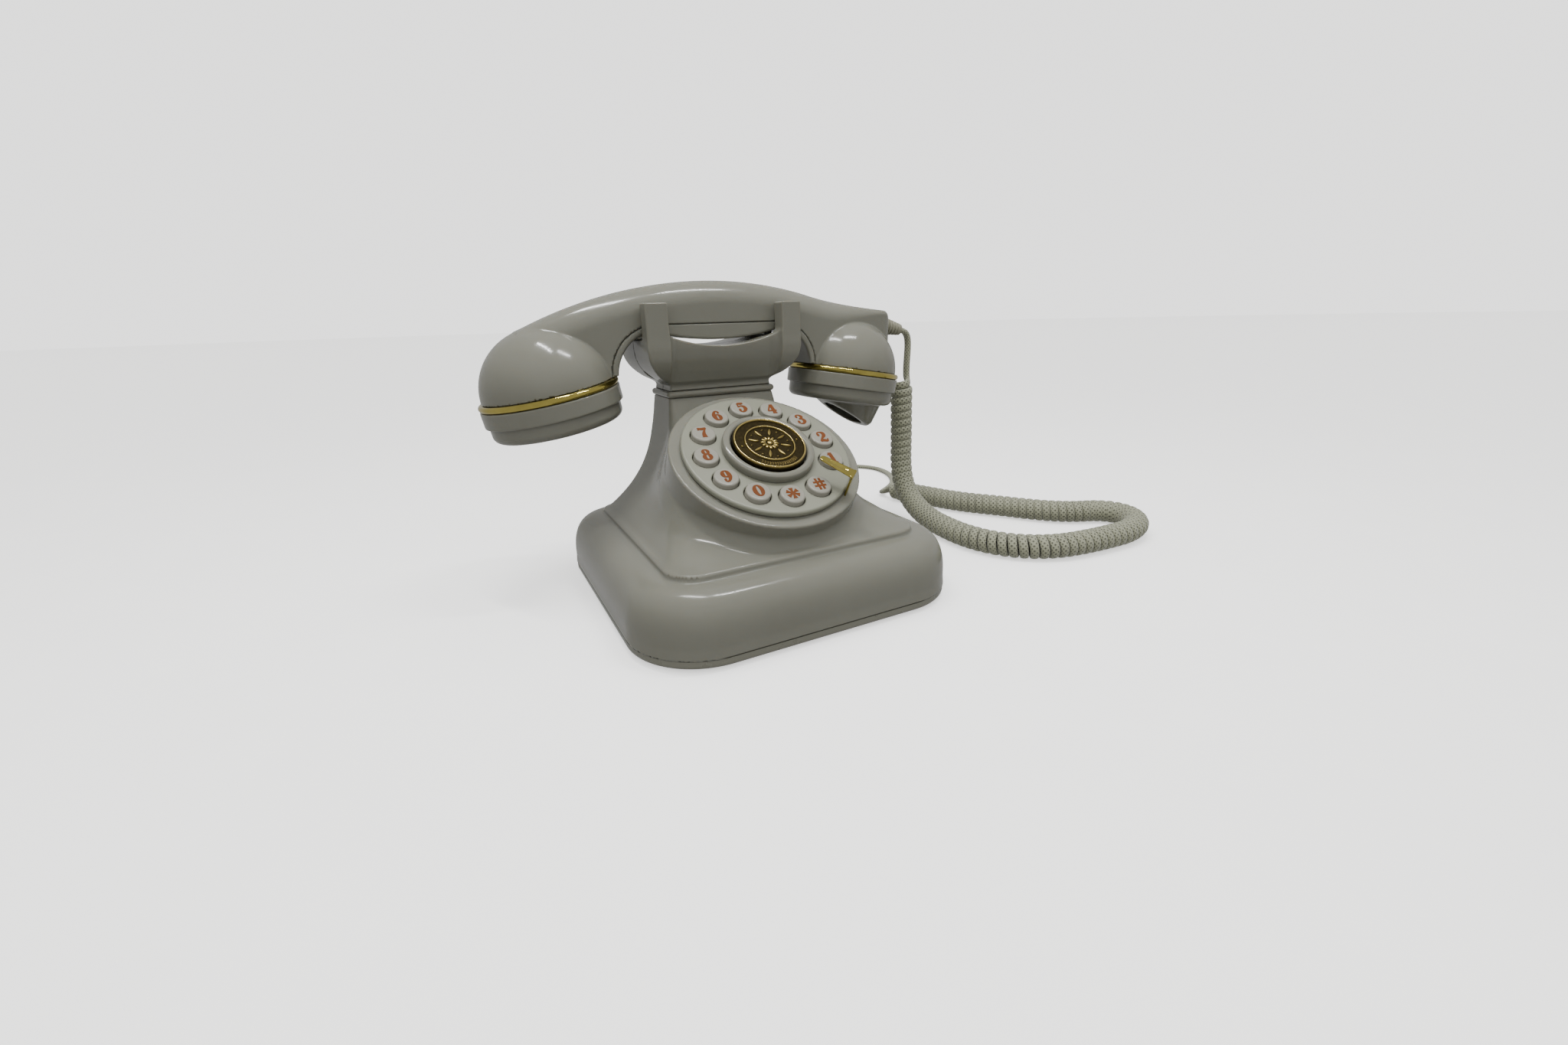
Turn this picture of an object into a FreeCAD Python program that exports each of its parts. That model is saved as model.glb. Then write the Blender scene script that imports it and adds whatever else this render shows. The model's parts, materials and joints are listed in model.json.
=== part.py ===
import FreeCAD, Part
import math
import os
from FreeCAD import Placement, Rotation, Vector

# Corded desk phone with a push-button dial and a handset lying across a cradle.
# Frame: millimetres, +Z up, +Y towards the back, origin on the table under the centre of the phone.

WALL = 2.4                      # moulded wall thickness
GAP = 0.3                       # running clearance between pieces that move apart

# plinth
PLINTH_X = 81.0                 # half width at the seam
PLINTH_Y = 81.0                 # half depth at the seam
PLINTH_R = 35.0                 # front corner radius in plan
PLINTH_BACK_R = 27.0
FOOT_HEIGHT = 1.0
SEAM_Z = 5.0
WALL_TOP_Z = 10.0               # where the wall turns into the shoulder
SHOULDER_Z = 31.4
SHOULDER_INSET = 16.0
SHOULDER_POWER = 2.6            # 2 is an elliptical shoulder, more is fuller
WALL_DRAFT = 0.4                # inward lean of the wall over its height
STEP_TOP_Z = 34.2               # top of the step that the flared body stands on
STEP_X = 63.0
STEP_FRONT = -62.8
STEP_BACK = 63.0
STEP_R = 14.0
STEP_BACK_R = 8.0

# neck and cradle
NECK_X = 29.0                   # half width
CRADLE_Y = 40.3                 # plane through the middle of the cradle and the handset
NECK_HALF_Y = 13.4
NECK_TOP_Z = 94.2
COLLAR_TOP_Z = 97.6
COLLAR_PROUD = 1.4
COLLAR_R = 2.6
CUP_Z = 101.2                   # where the cradle starts to flare
CUP_TOP_Z = 117.5
PRONG_TOP_Z = 140.2
PRONG_OUT_X = 41.7
PRONG_IN_X = 30.3
PRONG_OUT_Y = 25.0              # from the cradle's middle plane
PRONG_IN_Y = 16.2
SADDLE_Z = 119.5
SADDLE_END_Z = 125.2
POCKET_Z = 123.4

# dial, in its own frame: origin on the button tops, z out of the dial
DIAL_CENTRE = Vector(0, -24.5, 74.2)
DIAL_TILT = 30.7                # degrees from horizontal
FLANGE_R = 46.5
FLANGE_H = -5.1
PLATE_R = 41.0
PLATE_H = -2.0
BUTTON_CIRCLE_R = 31.0
BUTTON_R = 5.75
BUTTON_TRAVEL = 1.8
KEY_DOME_H = -10.6              # top of the rubber dome under each button
BUTTON_FIRST = -24.42           # angle of the "1" button
BUTTON_STEP = 29.06
BUTTON_NAMES = ["1", "2", "3", "4", "5", "6", "7", "8", "9", "0", "star", "hash"]
RING_R = 22.3
MEDALLION_R = 17.9
STOP_ANGLE = -50.0
STOP_R = 42.0
STOP_H = 7.6

# handset
CUP_X = 84.8
CUP_CENTRE_Z = 100.3
CUP_TILT = 9.57                 # degrees, the faces look towards each other
CAP_R = 33.0
RING_HALF = 1.6
DOME_R = 30.3                   # round back of a cup, a ball centred a little above the ring plane
DOME_CENTRE = 0.6
DOME_FOOT_R = 31.2
HANDLE_HALF_Y = 14.0
HANDLE_TOP_Z = 151.1
HANDLE_ARC_R = 221.0
HANDLE_END_X = 112.4
HANDLE_END_R = 10.0             # the cord end is round in plan
HANDLE_ROUND = 6.5
BELLY_Z = 122.3
RELIEF_START = Vector(109.6, CRADLE_Y, 126.4)
RELIEF_DIR = Vector(0.978, 0, -0.208)
RELIEF_LENGTH = 17.5
CAP_FACE = -17.3                # outer face of each cap, below its ring plane
CAP_FLOOR = -15.0

# hook switch plungers
PLUNGER_X = 34.6
PLUNGER_R = 2.2
PLUNGER_TRAVEL = 3.0
YOKE_Z = 112.4                  # underside of the bar that joins the plungers
YOKE_THICK = 3.0
PLUNGER_TIP_Z = 125.9

# jacks and switch on the back wall
JACK_X = 57.0
JACK_Z = 12.0
SWITCH_Z = 12.5

# curly cord
STRAND = 4.8                    # width of the flat strand
COIL_D = 14.0

HANDSET_TAIL = [(126.71, 40.3, 122.76), (129.9, 40.3, 122.1), (132.3, 40.3, 120.2),
                (133.6, 40.3, 117.0), (133.9, 40.3, 111.5), (133.6, 40.3, 104.0),
                (133.4, 40.3, 97.0), (133.4, 40.3, 90.6)]
COIL_ROUTE = [(130.2, 40.3, 90.6), (130.2, 40.3, 78), (130.9, 40.3, 64), (131.3, 40.2, 50),
              (131.0, 39.5, 37), (130, 35, 24), (129, 23, 13.6), (127.7, 6, 8.2),
              (126.3, -14, 7.1), (126.3, -31, 7.1), (131, -47, 7.1), (141, -60, 7.1),
              (156, -68.5, 7.1), (174, -71.8, 7.1), (193, -73.3, 7.1), (211, -73.6, 7.1),
              (228, -68.5, 7.1), (237.6, -57.5, 7.1), (238.4, -45, 7.1), (230, -36.5, 7.1),
              (219, -32.6, 7.1), (206.5, -23.2, 7.1), (196, -9.3, 7.1), (187, 5.2, 7.1),
              (177, 18.2, 7.1), (169, 33.2, 7.1), (163, 51, 7.1), (156.8, 67, 7.1),
              (151, 77.5, 7.1)]
BASE_TAIL = [(151, 77.5, 5.6), (149.6, 81.4, 4.6), (151.4, 86.0, 3.6), (156, 90.4, 2.8),
             (163.5, 95.5, 2.6), (175, 103.5, 2.6), (187, 118, 2.6), (195.5, 137, 2.6), (197, 157, 2.6),
             (187, 172, 2.6), (168, 180, 2.6), (145, 181, 2.6), (122, 176, 2.6),
             (101, 165, 2.6), (83, 150, 2.6), (69, 131, 4.0), (60.5, 111, 7.4),
             (57.4, 96.5, 11.2), (57, 87, 12.0)]


def save(node, shape):
    if len(shape.Solids) == 1:
        shape = shape.Solids[0]
    if not shape.isValid():
        print("INVALID", node)
    print(node, len(shape.Solids), round(shape.Volume / 1000, 2), "cm3")
    shape.exportStep("parts/" + node + ".step")


def box(x0, x1, y0, y1, z0, z1):
    return Part.makeBox(x1 - x0, y1 - y0, z1 - z0, Vector(x0, y0, z0))


def rod(radius, z0, z1, x=0.0, y=0.0):
    return Part.makeCylinder(radius, z1 - z0, Vector(x, y, z0))


def fuse(shapes):
    return shapes[0].multiFuse(shapes[1:]).removeSplitter() if len(shapes) > 1 else shapes[0]


def rounded_rect(half_x, y0, y1, front_r, back_r, z):
    """Closed wire of a rectangle with round corners, at height z."""
    edges = []
    corners = [(half_x, y0, -1, 1), (half_x, y1, -1, -1), (-half_x, y1, 1, -1), (-half_x, y0, 1, 1)]
    ends = []
    for i, (x, y, sx, sy) in enumerate(corners):
        radius = max(front_r if y == y0 else back_r, 0.6)
        cut = radius * (1 - math.sqrt(0.5))
        along_x = Vector(x + sx * radius, y, z)
        along_y = Vector(x, y + sy * radius, z)
        middle = Vector(x + sx * cut, y + sy * cut, z)
        first, last = (along_x, along_y) if i % 2 == 0 else (along_y, along_x)
        edges.append(Part.Arc(first, middle, last).toShape())
        ends.append((first, last))
    for i in range(4):
        edges.append(Part.LineSegment(ends[i][1], ends[(i + 1) % 4][0]).toShape())
    return Part.Wire(Part.__sortEdges__(edges))


def plan_prism(half_x, y0, y1, front_r, back_r, z0, z1):
    face = Part.Face(rounded_rect(half_x, y0, y1, front_r, back_r, z0))
    return face.extrude(Vector(0, 0, z1 - z0))


def plinth_section(grow, z):
    """The plinth's plan drawn in by grow."""
    return rounded_rect(PLINTH_X - grow, grow - PLINTH_Y, PLINTH_Y - grow, PLINTH_R - grow, PLINTH_BACK_R - grow, z)


def outline(points, to_vector):
    """Closed face from points; a pair of points is the middle and the end of an arc."""
    edges = []
    first = here = to_vector(points[0])
    for item in points[1:]:
        if isinstance(item[0], tuple):
            middle, end = to_vector(item[0]), to_vector(item[1])
            edges.append(Part.Arc(here, middle, end).toShape())
        else:
            end = to_vector(item)
            edges.append(Part.LineSegment(here, end).toShape())
        here = end
    if here.distanceToPoint(first) > 0.001:
        edges.append(Part.LineSegment(here, first).toShape())
    return Part.Face(Part.Wire(edges))


def side_prism(points, y0, y1):
    """Outline in X and Z, extruded along Y."""
    return outline(points, lambda p: Vector(p[0], y0, p[1])).extrude(Vector(0, y1 - y0, 0))


def end_prism(points, x0, x1):
    """Outline in Y and Z, extruded along X."""
    return outline(points, lambda p: Vector(x0, p[0], p[1])).extrude(Vector(x1 - x0, 0, 0))


def turned(points):
    """Outline in radius and height, turned about Z."""
    face = outline(points, lambda p: Vector(p[0], 0, p[1]))
    return face.revolve(Vector(0, 0, 0), Vector(0, 0, 1), 360)


def on_dial(shape):
    placed = shape.copy()
    placed.Placement = Placement(DIAL_CENTRE, Rotation(Vector(1, 0, 0), DIAL_TILT)).multiply(shape.Placement)
    return placed


def on_cup(shape, side):
    """Place a shape made about Z on the left (-1) or right (+1) cup of the handset."""
    placed = shape.copy()
    turn = Rotation(Vector(0, 1, 0), side * CUP_TILT)
    where = Vector(side * CUP_X, CRADLE_Y, CUP_CENTRE_Z)
    placed.Placement = Placement(where, turn).multiply(shape.Placement)
    return placed


def holes_in_circle(radius, circle, count, z0, z1):
    found = []
    for i in range(count):
        angle = 2 * math.pi * i / count
        found.append(rod(radius, z0, z1, circle * math.cos(angle), circle * math.sin(angle)))
    return found


# ---------------------------------------------------------------- base

def plinth(inset, z0):
    """Nearly upright walls with a full round shoulder; inset makes the cavity."""
    wires = [plinth_section(inset, z0)]
    steps = 7
    for i in range(steps + 1):
        turn = math.pi / 2 * i / steps
        out = math.cos(turn) ** (2 / SHOULDER_POWER) if i < steps else 0
        grow = WALL_DRAFT + (SHOULDER_INSET - WALL_DRAFT) * (1 - out) + inset
        rise = math.sin(turn) ** (2 / SHOULDER_POWER)
        wires.append(plinth_section(grow, WALL_TOP_Z + (SHOULDER_Z - WALL_TOP_Z - inset) * rise))
    lower = Part.makeLoft(wires[:2], True, True)
    upper = Part.makeLoft(wires[1:], True, False)
    return lower.fuse(upper)


def flared_body(inset):
    """Concave body from the step up to the neck: height, half width, front, back, corner radii."""
    sections = [(STEP_TOP_Z - 0.5, 61.6, -61.4, 61.6, 13.0, 7.0), (38.0, 57.0, -51.5, 58.4, 13.0, 6.0),
                (45.0, 49.3, -34.0, 56.8, 12.0, 5.0), (54.0, 42.0, -14.0, 55.6, 9.5, 4.0),
                (65.0, 36.2, 5.0, 54.8, 6.5, 3.0), (78.0, 32.3, 19.0, 54.4, 3.5, 2.0),
                (NECK_TOP_Z - inset, 29.4, 26.7, 54.1, 1.6, 1.6)]
    wires = []
    for height, half_x, y0, y1, front_r, back_r in sections:
        wires.append(rounded_rect(half_x - inset, y0 + inset, y1 - inset, front_r - inset, back_r - inset, height))
    return Part.makeLoft(wires, True, False)


def step_prism(inset, z0, z1):
    return plan_prism(STEP_X - inset, STEP_FRONT + inset, STEP_BACK - inset, STEP_R - inset, STEP_BACK_R - inset, z0, z1)


def drum(inset):
    """Round drum under the dial flange, buried in the body at its lower end."""
    top = on_dial(rod(FLANGE_R - inset, -48.0, FLANGE_H - inset))
    room = box(-60, 60, -80, 60, SHOULDER_Z - inset - 1, 130)
    return top.common(room)


def base_shell():
    outside = fuse([plinth(0, SEAM_Z), step_prism(0, SHOULDER_Z - 0.4, STEP_TOP_Z), flared_body(0), drum(0)])
    inner_step = step_prism(WALL, SHOULDER_Z - 2 * WALL, STEP_TOP_Z - WALL)
    well = step_prism(WALL + 1.4, SHOULDER_Z - 2 * WALL, STEP_TOP_Z - 0.3)
    inside = fuse([plinth(WALL, SEAM_Z - 1), inner_step, well, flared_body(WALL), drum(WALL)])
    shell = outside.cut(inside)
    bosses = []
    for x in (-58, 58):
        for y in (-52, 52):
            bosses.append(rod(4.0, SEAM_Z, SHOULDER_Z - 2, x, y).cut(rod(1.4, SEAM_Z, 16, x, y)))
    shell = fuse([shell] + bosses)
    openings = [on_dial(rod(BUTTON_CIRCLE_R + 7.3, -12, 0)), stop_slot(), jack_block(JACK_X, 6.5),
                jack_block(-JACK_X, 7.5), switch_slot(),
                box(-3.6, 3.6, CRADLE_Y - 2.6, CRADLE_Y + 2.6, NECK_TOP_Z - 4, NECK_TOP_Z + 1)]
    for tool in openings:
        shell = shell.cut(tool)
    return shell


def stop_slot():
    angle = Rotation(Vector(0, 0, 1), STOP_ANGLE)
    slot = box(STOP_R - 0.45, STOP_R + 0.45, -1.8, 1.8, -10.5, FLANGE_H + 1)
    slot.Placement = Placement(Vector(), angle)
    return on_dial(slot)


def base_plate():
    plate = Part.Face(plinth_section(0.3, FOOT_HEIGHT)).extrude(Vector(0, 0, SEAM_Z - FOOT_HEIGHT))
    lowest = [e for e in plate.Edges if abs(e.BoundBox.ZMax - FOOT_HEIGHT) < 0.01]
    plate = plate.makeFillet(2.2, lowest)
    pocket = Part.Face(plinth_section(4.5, FOOT_HEIGHT + 2.2)).extrude(Vector(0, 0, SEAM_Z))
    plate = plate.cut(pocket)
    for x in (-58, 58):
        for y in (-52, 52):
            plate = plate.fuse(rod(4.0, FOOT_HEIGHT + 1, SEAM_Z, x, y))
            plate = plate.cut(rod(1.7, 0, 6, x, y)).cut(rod(3.2, 0, FOOT_HEIGHT + 1.8, x, y))
    for i in range(6):
        plate = plate.cut(box(18 + 4 * i, 20 + 4 * i, -40, -14, 0, 6))
    return plate


def rubber_feet():
    feet = [rod(7.0, 0, FOOT_HEIGHT, x, y) for x in (-64, 64) for y in (-34, 38)]
    return Part.makeCompound(feet)


def base_screws():
    screws = []
    for x in (-58, 58):
        for y in (-52, 52):
            head = rod(3.0, FOOT_HEIGHT + 0.3, FOOT_HEIGHT + 1.8, x, y)
            head = head.cut(box(x - 2, x + 2, y - 0.4, y + 0.4, 0, FOOT_HEIGHT + 1))
            screws.append(head.fuse(rod(1.4, FOOT_HEIGHT + 1.8, 15, x, y)).removeSplitter())
    return Part.makeCompound(screws)


def neck_collar():
    half_x = NECK_X + COLLAR_PROUD
    half_y = NECK_HALF_Y + COLLAR_PROUD
    ring = plan_prism(half_x, CRADLE_Y - half_y, CRADLE_Y + half_y, COLLAR_R, COLLAR_R, NECK_TOP_Z, COLLAR_TOP_Z)
    ring = ring.makeFillet(1.5, [e for e in ring.Edges if abs(e.BoundBox.ZLength) < 0.01])
    return ring.cut(box(-3.6, 3.6, CRADLE_Y - 2.6, CRADLE_Y + 2.6, NECK_TOP_Z - 1, COLLAR_TOP_Z + 1))


# ---------------------------------------------------------------- cradle

def cradle_block():
    """Both halves in one: front view crossed with side view, then prongs, saddle and panels."""
    mid = CRADLE_Y
    cup_mid_z = 107.4
    front_view = [(-NECK_X, COLLAR_TOP_Z), (NECK_X, COLLAR_TOP_Z), (NECK_X, CUP_Z),
                  ((37.4, cup_mid_z), (PRONG_OUT_X, CUP_TOP_Z)), (PRONG_OUT_X, PRONG_TOP_Z),
                  (PRONG_IN_X, PRONG_TOP_Z), (PRONG_IN_X, SADDLE_END_Z),
                  ((0, SADDLE_Z), (-PRONG_IN_X, SADDLE_END_Z)), (-PRONG_IN_X, PRONG_TOP_Z),
                  (-PRONG_OUT_X, PRONG_TOP_Z), (-PRONG_OUT_X, CUP_TOP_Z),
                  ((-37.4, cup_mid_z), (-NECK_X, CUP_Z))]
    near, far = mid - NECK_HALF_Y, mid + NECK_HALF_Y
    out = PRONG_OUT_Y
    side_view = [(near, COLLAR_TOP_Z), (far, COLLAR_TOP_Z), (far, CUP_Z),
                 ((mid + 21.2, cup_mid_z), (mid + out, CUP_TOP_Z)), (mid + out, PRONG_TOP_Z),
                 (mid - out, PRONG_TOP_Z), (mid - out, CUP_TOP_Z),
                 ((mid - 21.2, cup_mid_z), (near, CUP_Z))]
    block = side_prism(front_view, mid - 30, mid + 30).common(end_prism(side_view, -45, 45))
    for side in (-1, 1):
        x0, x1 = sorted((side * PRONG_IN_X, side * 46))
        block = block.cut(box(x0, x1, mid - PRONG_IN_Y, mid + PRONG_IN_Y, POCKET_Z, 150))
        panel = [(mid + side * 13.6, CUP_Z - 1.6),
                 ((mid + side * 17.6, 107.9), (mid + side * 20.2, CUP_TOP_Z)),
                 (mid + side * 20.2, 131), (mid + side * 40, 131), (mid + side * 40, CUP_Z - 1.6)]
        block = block.cut(end_prism(panel, -PRONG_IN_X, PRONG_IN_X))
    return block


def hook_room():
    """Space in the cradle for the hook yoke and its plungers."""
    mid = CRADLE_Y
    floor = YOKE_Z - PLUNGER_TRAVEL - 0.2
    roof = YOKE_Z + YOKE_THICK + GAP
    tools = [box(-PLUNGER_X - 2.5, PLUNGER_X + 2.5, mid - 2.8, mid + 2.8, floor, roof),
             box(-3.6, 3.6, mid - 2.6, mid + 2.6, COLLAR_TOP_Z - 1, 110)]
    for side in (-1, 1):
        tools.append(rod(PLUNGER_R + GAP, YOKE_Z, 130, side * PLUNGER_X, mid))
    return fuse(tools)


def cradle_half(block, side):
    """The front (-1) or rear (+1) half, hollowed from the joint."""
    mid = CRADLE_Y
    y0, y1 = sorted((mid, mid + side * 40))
    half = block.common(box(-50, 50, y0, y1, 90, 150)).cut(hook_room())
    y0, y1 = sorted((mid + side * 5.5, mid + side * 11.0))
    for x in (-14.5, 14.5):
        half = half.cut(box(x - 9, x + 9, y0, y1, COLLAR_TOP_Z, 116.5))
    return half


def cradle_screws():
    screws = []
    for x in (-20, 20):
        screws.append(Part.makeCylinder(1.6, 1.4, Vector(x, CRADLE_Y + NECK_HALF_Y - 1.4, 99.4), Vector(0, 1, 0)))
    return Part.makeCompound(screws)


def hook_yoke():
    mid = CRADLE_Y
    bar = box(-PLUNGER_X - PLUNGER_R, PLUNGER_X + PLUNGER_R, mid - 2.4, mid + 2.4, YOKE_Z, YOKE_Z + YOKE_THICK)
    stem = box(-3.2, 3.2, mid - 2.2, mid + 2.2, 82.0, 113)
    pieces = [bar, stem]
    for side in (-1, 1):
        plunger = rod(PLUNGER_R, YOKE_Z, PLUNGER_TIP_Z, side * PLUNGER_X, mid)
        top = [e for e in plunger.Edges if abs(e.BoundBox.ZMin - PLUNGER_TIP_Z) < 0.01]
        pieces.append(plunger.makeFillet(1.2, top))
    return fuse(pieces)


# ---------------------------------------------------------------- dial

def button_angles():
    return [math.radians(BUTTON_FIRST + BUTTON_STEP * i) for i in range(len(BUTTON_NAMES))]


def button_spots():
    return [(BUTTON_CIRCLE_R * math.cos(a), BUTTON_CIRCLE_R * math.sin(a)) for a in button_angles()]


def dial_plate():
    plate = rod(PLATE_R, FLANGE_H, PLATE_H)
    plate = plate.makeFillet(1.5, [e for e in plate.Edges if abs(e.BoundBox.ZMin - PLATE_H) < 0.01])
    for x, y in button_spots():
        plate = plate.cut(rod(BUTTON_R + 0.45, FLANGE_H - 1, 1, x, y))
    posts = holes_in_circle(2.2, 19.0, 4, -13.0, FLANGE_H + 0.5)
    return on_dial(fuse([plate] + posts))


def button(x, y):
    cap = rod(BUTTON_R, -5.9, 0, x, y)
    cap = cap.makeFillet(0.9, [e for e in cap.Edges if abs(e.BoundBox.ZMin) < 0.01])
    lip = rod(BUTTON_R + 0.95, -6.3, FLANGE_H - 0.2, x, y)
    stem = rod(2.6, KEY_DOME_H + BUTTON_TRAVEL + 0.2, -6.0, x, y)
    return on_dial(fuse([cap, lip, stem]))


def keypad_mat():
    mat = rod(38.0, -13.0, -12.0).cut(rod(23.0, -14, -11))
    domes = [Part.makeCone(4.4, 2.8, KEY_DOME_H + 12.0, Vector(x, y, -12.0)) for x, y in button_spots()]
    return on_dial(fuse([mat] + domes))


def keypad_board():
    board = rod(40.0, -14.6, -13.0)
    for hole in holes_in_circle(1.1, 19.0, 4, -15, -12):
        board = board.cut(hole)
    return on_dial(board)


def centre_ring():
    profile = [(18.2, PLATE_H), (RING_R, PLATE_H), (RING_R, 0.6),
               ((20.9, 2.5), (18.9, 1.6)), (18.2, 0.2)]
    ring = turned(profile)
    return on_dial(ring.cut(box(-1.6, 1.6, -23, -20.6, -0.6, 0.7)))


def medallion():
    """Antique disc: dished field, two raised rings, two rivet dots and a plain rosette."""
    field = 2.7
    profile = [(0, PLATE_H), (MEDALLION_R, PLATE_H), (MEDALLION_R, field), (17.2, 3.6), (16.4, 3.6),
               (15.9, field), (12.6, field), (12.2, 3.5), (11.5, 3.5), (11.1, field), (0, field)]
    disc = turned(profile)
    extras = [Part.makeSphere(0.9, Vector(side * 14.2, 0, field)) for side in (-1, 1)]
    extras.append(Part.makeCone(3.0, 2.2, 1.2, Vector(0, 0, field - 0.1)))
    for i in range(8):
        angle = math.pi / 4 * i
        extras.append(Part.makeSphere(1.9, Vector(5.6 * math.cos(angle), 5.6 * math.sin(angle), field - 0.6)))
    return on_dial(fuse([disc] + extras))


def finger_stop():
    """Flat tapered arm over the dial with a leg down into the flange."""
    half_tip, half_root, thick = 1.6, 3.1, 0.9
    inner, outer = 25.0, STOP_R + 0.45
    flat = [(inner, -half_tip), (outer, -half_root), (outer, half_root), (inner, half_tip),
            ((inner - half_tip, 0), (inner, -half_tip))]
    arm = outline(flat, lambda p: Vector(p[0], p[1], STOP_H)).extrude(Vector(0, 0, thick))
    side = [(-half_root, STOP_H + 0.1), (-1.8, FLANGE_H), (-1.8, -10), (1.8, -10), (1.8, FLANGE_H),
            (half_root, STOP_H + 0.1)]
    leg = outline(side, lambda p: Vector(outer - thick, p[0], p[1])).extrude(Vector(thick, 0, 0))
    stop = fuse([arm, leg])
    stop.rotate(Vector(), Vector(0, 0, 1), STOP_ANGLE)
    return on_dial(stop)


# ---------------------------------------------------------------- inside the base

def jack_block(x, half):
    back = PLINTH_Y + 0.3
    return box(x - half, x + half, back - 16.0, back, JACK_Z - 6.5, JACK_Z + 6.5)


def jack(x, half, socket_half):
    back = PLINTH_Y + 0.3
    block = jack_block(x, half)
    mouth = box(x - socket_half, x + socket_half, back - 12.5, back + 1, JACK_Z - 3.6, JACK_Z + 3.6)
    key = box(x - 1.8, x + 1.8, back - 9.0, back + 1, JACK_Z - 5.2, JACK_Z - 3)
    return block.cut(mouth).cut(key)


def cord_plug():
    back = PLINTH_Y + 0.3
    body = box(JACK_X - 3.8, JACK_X + 3.8, back - 11.5, back + 1.8, JACK_Z - 3.3, JACK_Z + 3.3)
    latch = box(JACK_X - 1.5, JACK_X + 1.5, back - 8.5, back + 4.2, JACK_Z - 4.8, JACK_Z - 3.3)
    boot = box(JACK_X - 3.0, JACK_X + 3.0, back + 1.8, back + 5.7, JACK_Z - 2.2, JACK_Z + 2.2)
    return fuse([body, latch, boot])


def switch_slot():
    return box(-6.5, 6.5, PLINTH_Y - 6, PLINTH_Y + 2, SWITCH_Z - 2.2, SWITCH_Z + 2.2)


def ringer_switch_housing():
    front = PLINTH_Y - WALL - 1.2
    body = box(-9, 9, front - 5, front, SWITCH_Z - 4, SWITCH_Z + 4)
    return body.cut(box(-6.5, 6.5, front - 3, front + 1, SWITCH_Z - 2.2, SWITCH_Z + 2.2))


def ringer_knob():
    front = PLINTH_Y - WALL - 1.2
    knob = box(-2.0, 2.0, front - 2.6, PLINTH_Y + 0.9, SWITCH_Z - 1.9, SWITCH_Z + 1.9)
    for i in (-1, 0, 1):
        knob = knob.cut(box(i * 1.2 - 0.3, i * 1.2 + 0.3, PLINTH_Y + 0.4, PLINTH_Y + 1, 0, 30))
    return knob


def main_board():
    floor = FOOT_HEIGHT + 2.2
    board = box(-48, 20, 8, 52, floor + 5, floor + 6.6)
    parts = [board]
    for x in (-44, 16):
        for y in (12, 48):
            parts.append(rod(2.5, floor, floor + 5, x, y))
    parts += [box(-30, -14, 20, 28, floor + 6.6, floor + 8.6), box(-4, 6, 30, 40, floor + 6.6, floor + 8.4),
              rod(3.5, floor + 6.6, floor + 14, -38, 38), rod(3.5, floor + 6.6, floor + 14, -28, 40)]
    return fuse(parts)


def speaker():
    floor = FOOT_HEIGHT + 2.2
    frame = rod(20.0, floor, floor + 2.5, 30, -27)
    basket = Part.makeCone(18.0, 10.0, 6.5, Vector(30, -27, floor + 2.5))
    return fuse([frame, basket, rod(11.0, floor + 9, floor + 14, 30, -27)])


def ballast_plate():
    floor = FOOT_HEIGHT + 2.2
    plate = box(-50, -2, -50, -4, floor, floor + 6)
    return plate.makeFillet(3.0, [e for e in plate.Edges if abs(e.BoundBox.ZLength - 6) < 0.01])


def hook_switch():
    mid = CRADLE_Y
    floor = FOOT_HEIGHT + 2.2
    body = box(-9, 9, mid - 4, mid + 4, 66, 76)
    lever = box(-8, 6, mid - 2, mid + 2, 77.4, 78.2)
    hinge = box(-8, -6.5, mid - 2, mid + 2, 76, 77.6)
    post = box(-7, 7, mid + 4, mid + 6.5, floor + 15, 74)
    bracket = box(-12, 12, mid + 2, mid + 6.5, floor + 15, floor + 17)
    legs = [rod(1.6, floor, floor + 15, x, mid + 13.5) for x in (-14, 14)]
    shelf = box(-16, 16, mid + 2, mid + 16, floor + 13, floor + 15.2)
    return fuse([body, lever, hinge, post, bracket, shelf] + legs)


# ---------------------------------------------------------------- handset

def arc_height(x):
    """Height of the round back of the handle."""
    return HANDLE_TOP_Z - HANDLE_ARC_R + math.sqrt(HANDLE_ARC_R * HANDLE_ARC_R - x * x)


def tangent_middle(start, slope, end):
    """Middle of the arc that leaves start at an angle of slope and ends at end."""
    chord_x, chord_z = end[0] - start[0], end[1] - start[1]
    half = math.atan2(chord_z, chord_x) - slope
    sag = math.hypot(chord_x, chord_z) / 2 * math.tan(half / 2)
    across = math.atan2(chord_z, chord_x) - math.pi / 2
    return (start[0] + chord_x / 2 + sag * math.cos(across), start[1] + chord_z / 2 + sag * math.sin(across))


def slab_outline():
    join = (58.0, arc_height(58.0))
    lug = (105.8, 134.4)
    leave = -math.asin(58.0 / HANDLE_ARC_R)
    arrive = 2 * math.atan2(lug[1] - join[1], lug[0] - join[0]) - leave
    corner = (HANDLE_END_X, 129.3)
    return [(-97, arc_height(-97)), ((-20, arc_height(-20)), join),
            (tangent_middle(join, leave, lug), lug), (tangent_middle(lug, arrive, corner), corner), (HANDLE_END_X, 121),
            (104, 104), (53.9, 104), (53.9, 107.4), ((48.2, 119.6), (38, 127.5)),
            ((0, BELLY_Z), (-38, 127.5)), ((-48.2, 119.6), (-53.9, 107.4)), (-53.9, 104),
            (-104, 104), (-104, 112)]


def grip_outline():
    """The lower shell of the handle: belly, and a strip round each inner corner."""
    return [(53.0, 100), (57.2, 107.8), ((51.3, 121.8), (41, 129.2)), ((0, 130.2), (-41, 129.2)),
            ((-51.3, 121.8), (-57.2, 107.8)), (-53.0, 100), (-40, 100), (-40, 90), (40, 90), (40, 100)]


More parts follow.
